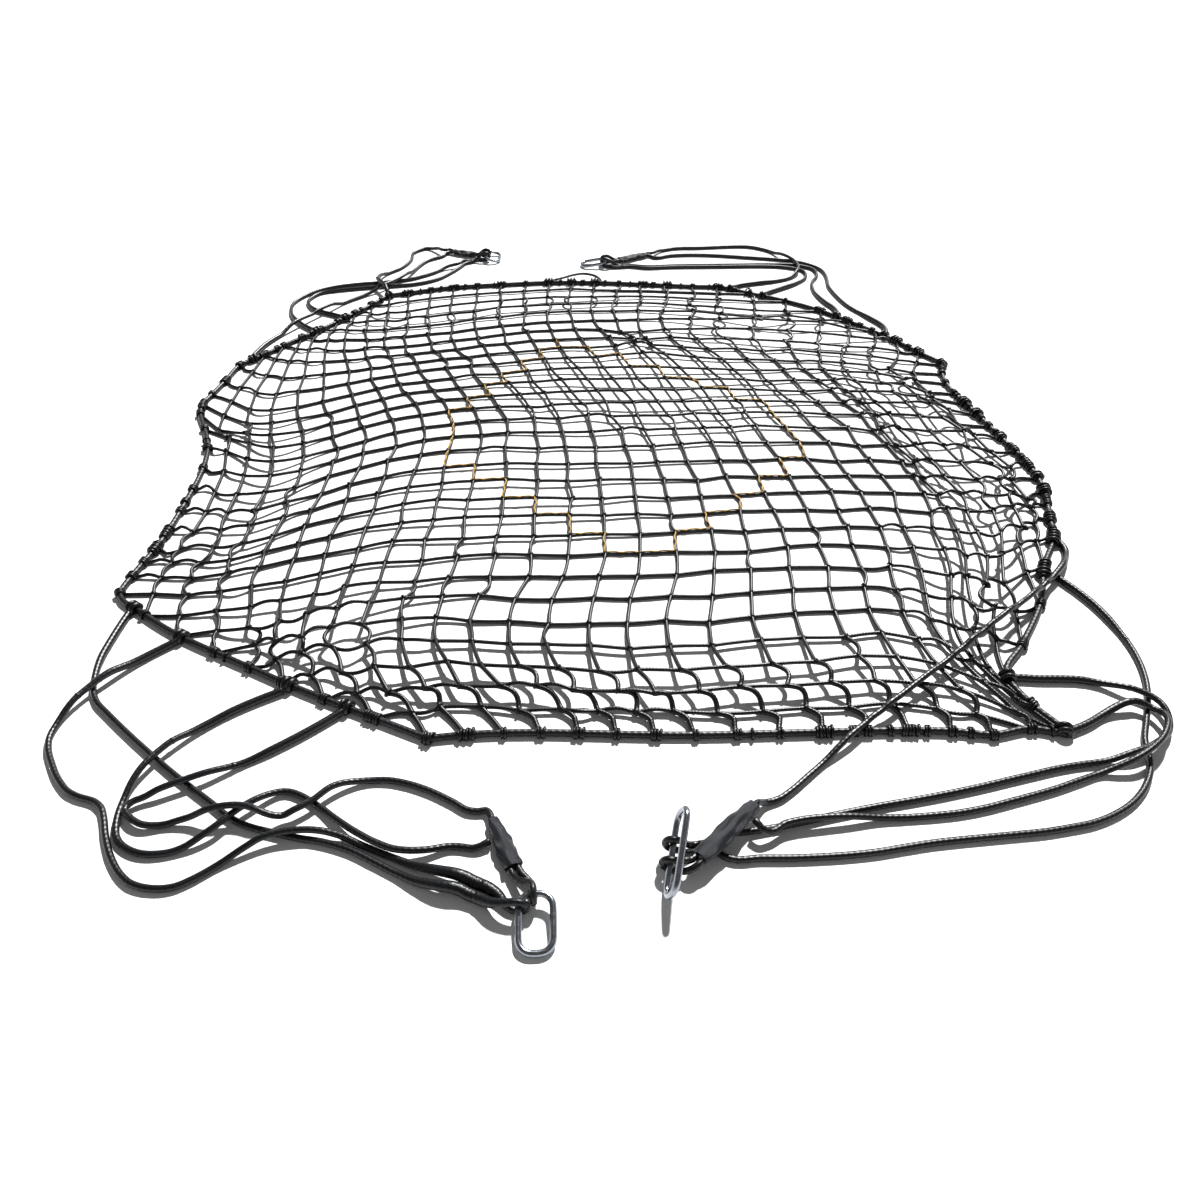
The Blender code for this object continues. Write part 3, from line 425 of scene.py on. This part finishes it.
# How far knots lie off their places, how far each cord bows, and to which side, from lying (1 or -1) to
# standing up (0). The columns' first four cords from the near edge all hook to the same side.
chance = np.random.default_rng(7)
KNOT_SHIFT = 0.0060
HOOKED = 4
knot_shift = chance.normal(0, KNOT_SHIFT, (*KNOT_GRID, 2))
bow_share = {kind: chance.uniform(0.35, 1.15, KNOT_GRID) for kind in ("row", "column")}
bow_turn = {
    kind: chance.choice((-1, 1), KNOT_GRID) * chance.uniform(0.35, 1.0, KNOT_GRID)
    for kind in ("row", "column")
}
bow_turn["column"][:, :HOOKED] = chance.uniform(-0.95, -0.55, (KNOT_GRID[0], HOOKED))
bow_share["column"][:, :HOOKED] = chance.uniform(0.85, 1.25, (KNOT_GRID[0], HOOKED))
tumble = chance.normal(0, 1, (KNOT_GRID[0] * KNOT_GRID[1], 2)).clip(-1.8, 1.8)


def to_edge(column, row):
    """How many meshes places lie inside the nearest edge of the eight-sided net."""
    across = HALF - np.abs(column)
    along = HALF - np.abs(row - HALF)
    return np.minimum(np.minimum(across, along), (across + along - CUT_CELLS) / math.sqrt(2))


def reaches(column, row, middle, deep, wide, long):
    """How much of a fold or bunch is felt at some places: 1 at its middle, and fading out from there."""
    return np.exp(-(((column - middle) / wide) ** 2) - ((row - deep) / long) ** 2)


def lies_at(column, row):
    """Where the underside of the net lies, for many places counted in meshes."""
    column, row = np.asarray(column, float), np.asarray(row, float)
    stations = np.array(list(NET_ROWS), float)
    tracked = np.array([smooth_between(NET_COLUMNS, np.array(k), column) for k in NET_ROWS.values()])
    slopes = np.gradient(tracked, stations, axis=0)
    left = np.clip(np.searchsorted(stations, row, side="right") - 1, 0, len(stations) - 2)
    each = np.arange(len(column))
    span = (stations[left + 1] - stations[left])[:, None]
    t = (row - stations[left])[:, None] / span
    near, far = (left, each), (left + 1, each)
    place = eased(t, span, tracked[near], slopes[near], tracked[far], slopes[far])
    lift = np.zeros(len(column))
    for _, middle, deep, wide, long, drag_x, drag_y, height in FOLDS:
        share = reaches(column, row, middle, deep, wide, long)
        place[:, 0] += share * drag_x
        place[:, 1] += share * drag_y
        lift += share * height
    # the border lies on the ground, and the net rises over the next two meshes
    inside = np.clip(to_edge(column, row) / 2.0, 0, 1)
    lift = np.maximum(lift - LYING_FLAT, 0) * inside * inside * (3 - 2 * inside)
    # what is lifted stays on the same line of sight
    place *= (1 - lift / EYE.z)[:, None]
    return np.column_stack([place, lift]) + np.array(TO_FRAME)


all_columns, all_rows = np.meshgrid(np.arange(-HALF, HALF + 1), np.arange(CELLS + 1), indexing="ij")
all_columns, all_rows = all_columns.ravel(), all_rows.ravel()
knot_at = lies_at(all_columns, all_rows)
knot_shift = knot_shift.reshape(-1, 2)
bunched = np.zeros(len(all_rows))
for _, middle, deep, wide, long, pull_across, pull_along, tumbled in BUNCHES:
    share = reaches(all_columns, all_rows, middle, deep, wide, long)
    bunched = np.maximum(bunched, share * max(pull_across, pull_along))
    across = lies_at(np.full(len(all_rows), middle), all_rows) - knot_at
    along = lies_at(all_columns, np.full(len(all_rows), deep)) - knot_at
    knot_shift += share[:, None] * ((pull_across * across + pull_along * along)[:, :2] + tumbled * tumble)
knot_shift *= np.clip(to_edge(all_columns, all_rows), 0, 1)[:, None]
knot_at[:, :2] += knot_shift
knot_at = knot_at.reshape(*KNOT_GRID, 3)
knot_shift = knot_shift.reshape(*KNOT_GRID, 2)
bunched = bunched.reshape(KNOT_GRID)


def cord_line(kind, number, start, end, points=8):
    """The middle of a mesh cord along a row or a column, and its share of the way between two knots."""
    at = np.linspace(start, end, round(abs(end - start) * points) + 1)
    fixed = np.full(len(at), float(number))
    column, row = (at, fixed) if kind == "row" else (fixed, at)
    line = lies_at(column, row)
    whole = np.clip(np.floor(at + 1e-6).astype(int), None, round(max(start, end)) - 1)
    share = at - whole
    if kind == "row":
        c0, r0 = whole + HALF, np.full(len(at), number)
        c1, r1 = c0 + 1, r0
    else:
        c0, r0 = np.full(len(at), number + HALF), whole
        c1, r1 = c0, r0 + 1
    line[:, :2] += knot_shift[c0, r0] * (1 - share)[:, None] + knot_shift[c1, r1] * share[:, None]
    reach = knot_at[c1, r1] - knot_at[c0, r0]
    apart = np.linalg.norm(reach, axis=1)
    spare = sum(more * reaches(column, row, *where) for _, *where, more in SLACK)
    bow = 2 * apart / math.pi * np.sqrt(np.maximum((TIGHT + spare) / apart - 1, 0))
    bow = np.minimum(bow, np.minimum(EVEN_BOW + BOW_FOR_SLACK * spare, MOST_BOW))
    bow = (bow * bow_share[kind][c0, r0] + LEAST_BOW) * np.sin(math.pi * share)
    turn = bow_turn[kind][c0, r0]
    inner = np.clip(2 * to_edge(column, row), 0, 1)
    line[:, :2] += np.column_stack([-reach[:, 1], reach[:, 0]]) * (bow * turn * inner / apart)[:, None]
    line[:, 2] += NET_CORD / 2 + 0.8 * bow * (1 - abs(turn)) * inner
    return line, share


cord_nylon = braided_nylon("black_braided_nylon_cord", "#050608", "#13151a", 0.010, 4, 0.36, 0.0007)
bm, uv = new_mesh()
for kind in ("row", "column"):
    for number in range(-HALF, HALF + 1) if kind == "column" else range(CELLS + 1):
        off = max(0, abs(number if kind == "column" else number - HALF) - (HALF - CUT_CELLS))
        start, end = (off, CELLS - off) if kind == "column" else (off - HALF, HALF - off)
        line, share = cord_line(kind, number, start, end)
        thick = 1 + KNOT_BULGE * np.exp(-((np.minimum(share, 1 - share) / KNOT_REACH) ** 2))
        if kind == "column":
            rows = np.linspace(start, end, len(line))
            # painted shadow: the columns near the near edge are widened in black cord to stand for their
            # shadows
            thick += CORD_SHADOW_WIDENING * np.exp(-((rows / CORD_SHADOW_REACH) ** 2))
        add_tube(bm, uv, line, (NET_CORD / 2 + BRAID_PROUD) * thick, CORD_SIDES)
mesh_cords = finish_piece("mesh_cords", bm, cord_nylon)
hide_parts("net_panel")

# Mesh knots
# At each crossing the cord is hitched round the one that it crosses, a lump about twice as thick as the
# cord, slanted one way or the other. It is fatter where the net is bunched, and knots worked over old
# ones make a fat patch near the middle.
HITCH = 0.0085
HITCH_VARIES = 0.0015
HITCH_CORD = 0.0052


def squared(way):
    """A direction made one long, and the level and the upward one that are square to it."""
    way = way / np.linalg.norm(way)
    side = np.cross(way, (0, 0, 1.0))
    side /= np.linalg.norm(side)
    return way, side, np.cross(side, way)


bm, uv = new_mesh()
for c in range(2 * HALF + 1):
    for r in range(CELLS + 1):
        # at the border itself there is a lashing instead
        if to_edge(c - HALF, r) < 0.3:
            continue
        across = knot_at[min(c + 1, 2 * HALF), r] - knot_at[max(c - 1, 0), r]
        along = knot_at[c, min(r + 1, CELLS)] - knot_at[c, max(r - 1, 0)]
        way = across / np.linalg.norm(across) + along / np.linalg.norm(along) * (1 if (c + r) % 2 else -1)
        way, side, _ = squared(way)
        mended = reaches(c - HALF, r, MENDED_COLUMN, MENDED_ROW, MENDED_REACH, MENDED_REACH)
        fatter = max(mended, 0.75 * bunched[c, r])
        size = (HITCH + HITCH_VARIES * bow_turn["row"][c, r]) * (1 + 1.1 * fatter)
        hitch = ring_at(knot_at[c, r] + (0, 0, NET_CORD / 2), size, side, (0, 0, 1.0), 8)
        hitch[:, 2] = np.maximum(hitch[:, 2], knot_at[c, r][2] + 0.005 + 0.006 * fatter)
        add_tube(bm, uv, hitch, np.full(8, HITCH_CORD * (1 + 1.3 * fatter)), 5, closed=True, axis=way)
mesh_knots = finish_piece("mesh_knots", bm, cord_nylon)

# Tracer thread
# A golden yellow thread twisted along the mesh cords in steps, to mark the middle of the net. Dyed
# polyester, matt and a little soiled, and less than half as thick as the cord.
thread_gold, tree, shader = principled("golden_polyester_thread", {
    "Base Color": linear("#c8962a"), "Roughness": 0.6, "IOR": 1.58,
})
place = add_node(tree, "ShaderNodeTexCoord")
patches = {"Scale": 30.0, "Detail": 3.0}
soil = add_node(tree, "ShaderNodeTexNoise", patches, {"Vector": place.outputs["Object"]})
mix = add_node(tree, "ShaderNodeMix", {"data_type": "RGBA"}, {0: soil.outputs[0]})
mix.inputs[6].default_value = linear("#8d6a22")
mix.inputs[7].default_value = linear("#e0ad3a")
tree.links.new(mix.outputs[2], shader.inputs["Base Color"])
THREAD = 0.0052
WINDING = 0.06
TRACER_CORNERS = (
    # column and row of each corner on the right; the left is its mirror
    (0, 8), (1, 8), (1, 9), (2, 9), (2, 10), (3, 10), (3, 11), (4, 11), (4, 12), (5, 12), (5, 13), (6, 13),
    (6, 17), (5, 17), (5, 18), (4, 18), (4, 19), (3, 19), (3, 20), (2, 20), (2, 21), (1, 21), (1, 22),
    (0, 22), (0, 23),
)
bm, uv = new_mesh()
for mirror in (1, -1):
    for (c0, r0), (c1, r1) in zip(TRACER_CORNERS, TRACER_CORNERS[1:]):
        if r0 == r1:
            line, _ = cord_line("row", r0, min(c0 * mirror, c1 * mirror), max(c0 * mirror, c1 * mirror), 10)
        else:
            line, _ = cord_line("column", c0 * mirror, r0, r1, 10)
        way = line[-1] - line[0]
        side = np.cross(way / np.linalg.norm(way), (0, 0, 1.0))
        wind = 0.5 * np.sin(lengths(line) * 2 * math.pi / WINDING + c0 + r0) - 0.25
        outside = NET_CORD / 2 + 0.0020
        line = line + outside * (np.outer(np.sin(wind), side) + np.outer(np.cos(wind), (0, 0, 1.0)))
        add_tube(bm, uv, line, np.full(len(line), THREAD / 2), 6)
tracer = finish_piece("tracer_thread", bm, thread_gold)

# Border rope
# A 22 mm braided black nylon rope all round the net, to which every edge mesh is lashed. Its plait is
# coarser than the leg ropes' and a little duller.
BORDER_ROPE = 0.022
flat = HALF - CUT_CELLS
corners = (
    (-flat, 0), (flat, 0), (HALF, CUT_CELLS), (HALF, CELLS - CUT_CELLS),
    (flat, CELLS), (-flat, CELLS), (-HALF, CELLS - CUT_CELLS), (-HALF, CUT_CELLS), (-flat, 0),
)
knots = []
for (c0, r0), (c1, r1) in zip(corners, corners[1:]):
    steps = max(abs(c1 - c0), abs(r1 - r0))
    knots += [(c0 + (c1 - c0) * i / steps, r0 + (r1 - r0) * i / steps) for i in range(steps)]
round_it = lies_at(*np.array([*knots, knots[0]]).T) + (0, 0, BORDER_ROPE / 2)
border_line, _ = evenly(round_it, np.ones(len(round_it)), 0.008)
bm, uv = new_mesh()
add_tube(bm, uv, border_line[:-1], np.full(len(border_line) - 1, BORDER_ROPE / 2), ROPE_SIDES, closed=True)
border_nylon = braided_nylon("black_braided_nylon_border", "#07080a", "#15171c", 0.020, 6, 0.42, 0.0016)
border = finish_piece("border_rope_all_round", bm, border_nylon)
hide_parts("border_rope")

# Edge lashings
# At every edge mesh the net is tied to the border rope with turns of its own black cord, from two
# neat turns to a fat bunch, with a loose turn here and there between. It is more ragged along the right
# and the far edges.
LASHING = 0.0048
LASHING_PITCH = 0.0088
# numbers of turns, how often a loose turn follows, and how far a bunch of turns swells
NEAT = ((2, 3, 3, 4, 6), 0.45, 0.35)
RAGGED = ((3, 4, 6, 7), 0.9, 0.75)
LOOSE_TURNS = (1, 2, 3)
tying = [RAGGED if (c > 9 and r > 7) or r > 28 else NEAT for c, r in knots]
turns_at = []
for i, here in enumerate(round_it[:-1]):
    turns_at.append((i, here, int(chance.choice(tying[i][0]))))
for i in range(len(round_it) - 1):
    if chance.uniform() < tying[i][1]:
        share = chance.uniform(0.3, 0.7)
        here = round_it[i] * (1 - share) + round_it[i + 1] * share
        turns_at.append((i, here, int(chance.choice(LOOSE_TURNS))))
bm, uv = new_mesh()
for i, here, turns in turns_at:
    way, side, up = squared(round_it[i + 1] - round_it[i - 1 if i else -2])
    bunch = 1 + tying[i][2] * chance.uniform(0, 1) * (turns > 3)
    for turn in range(turns):
        size = (BORDER_ROPE / 2 + 0.003) * (bunch if turn % 2 else 1) + chance.uniform(0, 0.0015)
        slant = chance.uniform(-0.25, 0.25)
        middle = here + way * ((turn - (turns - 1) / 2) * LASHING_PITCH)
        ring = ring_at(middle, size, side + slant * way, up, 12)
        ring[:, 2] = np.maximum(ring[:, 2], LASHING)
        add_tube(bm, uv, ring, np.full(12, LASHING), 6, closed=True, axis=way)
lashings = finish_piece("edge_lashings", bm, cord_nylon)

# Border splices
# Each leg rope's end goes round the border rope and is tucked back into itself, which makes it thick
# for its first third of a metre. The eye so made is two turns of rope round the border.
SPLICE_STEP = 0.005
TURN_HALF = 0.0088
for leg in LEGS:
    for number in range(1, 5):
        node = f"splice_{leg}_{number}"
        start = rope_starts[f"rope_{leg}_{number}"]
        line, radii = from_end_near(*centreline(node), start[None])
        line, radii = evenly(line[::-1], radii[::-1], SPLICE_STEP)
        # its last 10 mm thin down over the rope
        onward = (line[-1] - line[-2]) / np.linalg.norm(line[-1] - line[-2])
        line = np.vstack([line, line[-1] + np.outer((0.005, 0.010), onward)])
        radii = np.concatenate([radii, [LEG_ROPE / 2 + 0.0012, LEG_ROPE / 2 + 0.0002]])
        bm, uv = new_mesh()
        add_tube(bm, uv, line, radii, ROPE_SIDES)
        splice = finish_piece(f"border_{node}", bm, rope_nylon)
        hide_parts(node)
        near = np.argmin(np.linalg.norm(border_line - line[0], axis=1))
        here = border_line[near]
        way, side, up = squared(border_line[(near + 1) % (len(border_line) - 1)] - border_line[near - 1])
        size = BORDER_ROPE / 2 + 0.0075
        bm, uv = new_mesh()
        for turn in (-0.55, 0.55):
            ring = ring_at(here + way * (turn * LEG_ROPE), size, side, up, 20)
            ring[:, 2] = np.maximum(ring[:, 2], TURN_HALF)
            add_tube(bm, uv, ring, np.full(20, TURN_HALF), 10, closed=True, axis=way)
        # from the splice the rope bends up over its turns, where there is room for that to show
        share = np.linspace(0, 1, 8)[:, None]
        over = here + (0, 0, size * 0.6)
        bend = line[0] * 0.4 + over * 0.6
        throat = line[0] * (1 - share) ** 2 + 2 * share * (1 - share) * bend + share**2 * over
        if np.linalg.norm(throat[-1] - throat[0]) > 0.012:
            add_tube(bm, uv, throat, np.linspace(radii[0], 0.0085, 8), 12)
        finish_piece(f"border_eye_{leg}_{number}", bm, rope_nylon)

# Link eyes
# The two bights of black leg rope that go round the bar of each link: one is bare, and the other comes
# out of the chafe sleeve.
EYE_STEP = 0.004
for leg in LEGS:
    for kind in ("bare", "sleeved"):
        node = f"eye_{leg}_{kind}"
        line, radii = evenly(*centreline(node), EYE_STEP)
        if node == "eye_near_left_bare":
            line, radii = domed(line, radii)
        bm, uv = new_mesh()
        add_tube(bm, uv, line, radii, 16)
        eye = finish_piece(f"link_{node}", bm, rope_nylon)
        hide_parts(node)

# Lifting links
# Oblong links forged from round steel bar and hot-dip galvanised, which gives them a bright grey skin
# with faint spangle and soft reflections.
galvanised, tree, shader = principled("hot_dip_galvanised_steel", {
    "Base Color": linear("#8f949b"), "Metallic": 1.0, "Roughness": 0.22,
})
place = add_node(tree, "ShaderNodeTexCoord")
patches = {"Scale": 90.0, "Detail": 3.0}
spangle = add_node(tree, "ShaderNodeTexNoise", patches, {"Vector": place.outputs["Object"]})
rough = add_node(tree, "ShaderNodeMapRange", {1: 0.3, 2: 0.7, 3: 0.20, 4: 0.30}, {0: spangle.outputs[0]})
tree.links.new(rough.outputs[0], shader.inputs["Roughness"])
relief = {"Strength": 0.08, "Distance": 0.0004}
bump = add_node(tree, "ShaderNodeBump", relief, {"Height": spangle.outputs[0]})
tree.links.new(bump.outputs[0], shader.inputs["Normal"])


def smooth_copy(node, name, material, levels):
    """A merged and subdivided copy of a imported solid, in the same place."""
    bm = bmesh.new()
    bm.from_mesh(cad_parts[node].data)
    bmesh.ops.remove_doubles(bm, verts=bm.verts, dist=MERGE)
    bmesh.ops.join_triangles(bm, faces=bm.faces, angle_face_threshold=0.7, angle_shape_threshold=3.1)
    for face in bm.faces:
        face.smooth = True
    piece = finish_piece(name, bm, material)
    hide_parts(node)
    bpy.context.view_layer.objects.active = piece
    smoother = piece.modifiers.new("smoother", "SUBSURF")
    smoother.levels = smoother.render_levels = levels
    bpy.ops.object.modifier_apply(modifier="smoother")
    return piece


for leg in LEGS:
    smooth_copy(f"link_{leg}", f"lifting_link_{leg}", galvanised, 2)

# Chafe sleeves
# Sleeves of dark grey polyester webbing drawn over the rope parts next to each link, dull and finely
# ribbed, with a little dust. They lie flattened and creased, with the far mouth gathered on the ropes.
RIB = 0.003
YARNS_ROUND = 40
webbing, tree, shader = principled("grey_polyester_webbing", {
    "Base Color": linear("#14171c"), "Roughness": 0.42, "IOR": 1.5, "Specular IOR Level": 0.24,
    "Sheen Weight": 0.03, "Sheen Roughness": 0.5,
})
uv_map = add_node(tree, "ShaderNodeUVMap", {"uv_map": "UVMap"})
split = add_node(tree, "ShaderNodeSeparateXYZ", (), {0: uv_map.outputs["UV"]})
# Real ribs are 1.2 mm apart; drawn at 3 mm so that they show.
per_metre = {"operation": "MULTIPLY", 1: 2 * math.pi / RIB}
ribs = add_node(tree, "ShaderNodeMath", per_metre, {0: split.outputs["X"]})
rib = add_node(tree, "ShaderNodeMath", {"operation": "SINE"}, {0: ribs.outputs[0]})
per_turn = {"operation": "MULTIPLY", 1: 2 * math.pi * YARNS_ROUND}
yarns = add_node(tree, "ShaderNodeMath", per_turn, {0: split.outputs["Y"]})
yarn = add_node(tree, "ShaderNodeMath", {"operation": "SINE"}, {0: yarns.outputs[0]})
cloth = add_node(tree, "ShaderNodeMath", {"operation": "MULTIPLY"}, {0: rib.outputs[0], 1: yarn.outputs[0]})
bump = add_node(tree, "ShaderNodeBump", {"Strength": 0.5, "Distance": 0.0006}, {"Height": cloth.outputs[0]})
tree.links.new(bump.outputs[0], shader.inputs["Normal"])
place = add_node(tree, "ShaderNodeTexCoord")
patches = {"Scale": 24.0, "Detail": 4.0}
dust = add_node(tree, "ShaderNodeTexNoise", patches, {"Vector": place.outputs["Object"]})
mix = add_node(tree, "ShaderNodeMix", {"data_type": "RGBA"}, {0: dust.outputs[0]})
mix.inputs[6].default_value = linear("#08090c")
mix.inputs[7].default_value = linear("#1d2129")
tree.links.new(mix.outputs[2], shader.inputs["Base Color"])


def sleeve_shape(node):
    """A packed sleeve's middle line from its link to its far mouth, its half width and which way is aside."""
    spots = np.array([v.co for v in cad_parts[node].data.vertices])
    middle = spots[:, :2].mean(axis=0)
    way = np.linalg.svd(spots[:, :2] - middle, full_matrices=False)[2][0]
    link = np.mean(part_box(node.replace("sleeve", "link")), axis=0)[:2]
    if (link - middle) @ way > 0:
        way = -way
    along = (spots[:, :2] - middle) @ way
    aside = (spots[:, :2] - middle) @ np.array([-way[1], way[0]])
    order = np.linspace(along.min(), along.max(), 9)
    ring = [np.abs(along - a) < 0.012 for a in order]
    heights = [(spots[k, 2].min() + spots[k, 2].max()) / 2 for k in ring]
    wide = [np.abs(aside[k]).max() for k in ring]
    line = np.column_stack([middle + np.outer(order, way), heights])
    return line, np.array(wide), np.array([-way[1], way[0], 0.0])


SLEEVE_HALF = 0.016
SLEEVE_STEP = 0.003
SLEEVE_SIDES = 48
TURNED_IN = 0.72
# share of the way along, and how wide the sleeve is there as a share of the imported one
GATHER = ((0.0, 0.62), (0.12, 0.70), (0.35, 0.84), (0.6, 0.86), (0.85, 0.82), (1.0, 0.74))
# depth, waves round the sleeve, turn along its length, turn from one sleeve to the next
CREASES = ((0.0011, 5, 9, 1), (0.0009, 3, -14, 2))
CROSS_CREASE = 0.0010
for n, leg in enumerate(LEGS):
    line, wide, aside = sleeve_shape(f"sleeve_{leg}")
    line, wide = evenly(line, wide, SLEEVE_STEP)
    share = lengths(line) / lengths(line)[-1]
    wide = wide * np.interp(share, *np.array(GATHER).T)
    angles = np.arange(SLEEVE_SIDES) * 2 * math.pi / SLEEVE_SIDES
    bm, uv = new_mesh()
    rings = []
    last = len(line) - 1
    for i in [0, *range(last + 1), last]:
        # the first ring and the last are the mouths' rims, turned in
        inside = len(rings) == 0 or len(rings) == last + 2
        crease = sum(deep * np.sin(waves * angles + a * share[i] + b * n) for deep, waves, a, b in CREASES)
        crease += CROSS_CREASE * np.sin(26 * share[i] + 3 * np.sin(angles + n)) * np.cos(angles) ** 2
        grow = TURNED_IN if inside else 1.0
        x = np.sign(np.cos(angles)) * np.abs(np.cos(angles)) ** 0.85 * wide[i] * grow
        flattened = 0.78 + 0.22 * np.cos(angles * 2) ** 2
        z = np.sign(np.sin(angles)) * np.abs(np.sin(angles)) ** 0.9 * SLEEVE_HALF * flattened * grow
        spots = line[i] + np.outer(x + crease * np.cos(angles), aside) + np.outer(z + crease, (0, 0, 1.0))
        if inside:
            spots += (line[min(i + 4, last)] - line[max(i - 4, 0)]) * (0.35 if i == 0 else -0.35)
        rings.append([bm.verts.new(spot) for spot in spots])
    for i in range(len(rings) - 1):
        for k in range(SLEEVE_SIDES):
            j = (k + 1) % SLEEVE_SIDES
            face = bm.faces.new((rings[i][k], rings[i][j], rings[i + 1][j], rings[i + 1][k]))
            face.smooth = True
            for loop, (row, turn) in zip(face.loops, ((i, k), (i, k + 1), (i + 1, k + 1), (i + 1, k))):
                loop[uv].uv = (row * SLEEVE_STEP, turn / SLEEVE_SIDES)
    bm.faces.new(rings[0][::-1])
    bm.faces.new(rings[-1])
    sleeve = finish_piece(f"chafe_sleeve_{leg}", bm, webbing)
    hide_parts(f"sleeve_{leg}")

# Floor and lights
# A plain pale floor of matt paper, one key light from behind on the right, and a pale surround that is
# dimmer overhead. Colours are shown as they are, with no film curve.
bpy.ops.mesh.primitive_plane_add(size=60, location=(0, 0, -0.0005))
floor = bpy.context.object
floor.name = "floor"
paper, _, _ = principled("pale_floor", {"Base Color": (0.92, 0.92, 0.92, 1), "Roughness": 0.9})
floor.data.materials.append(paper)

sun = bpy.data.lights.new("key", "SUN")
sun.energy = 7.0
sun.angle = math.radians(3)
key = bpy.data.objects.new("key", sun)
bpy.context.scene.collection.objects.link(key)
key.rotation_mode = "QUATERNION"
key.rotation_quaternion = Vector((0.22, 0.66, 0.72)).to_track_quat("Z", "Y")

world = bpy.data.worlds.new("pale_surround")
bpy.context.scene.world = world
world.use_nodes = True
tree = world.node_tree
way = add_node(tree, "ShaderNodeTexCoord")
split = add_node(tree, "ShaderNodeSeparateXYZ", (), {0: way.outputs["Generated"]})
fall = add_node(tree, "ShaderNodeMapRange", {1: 0.05, 2: 0.42, 3: 1.0, 4: 0.14}, {0: split.outputs["Z"]})
tree.nodes["Background"].inputs[0].default_value = (1, 1, 1, 1)
tree.links.new(fall.outputs[0], tree.nodes["Background"].inputs[1])

bpy.context.scene.view_settings.view_transform = "Standard"
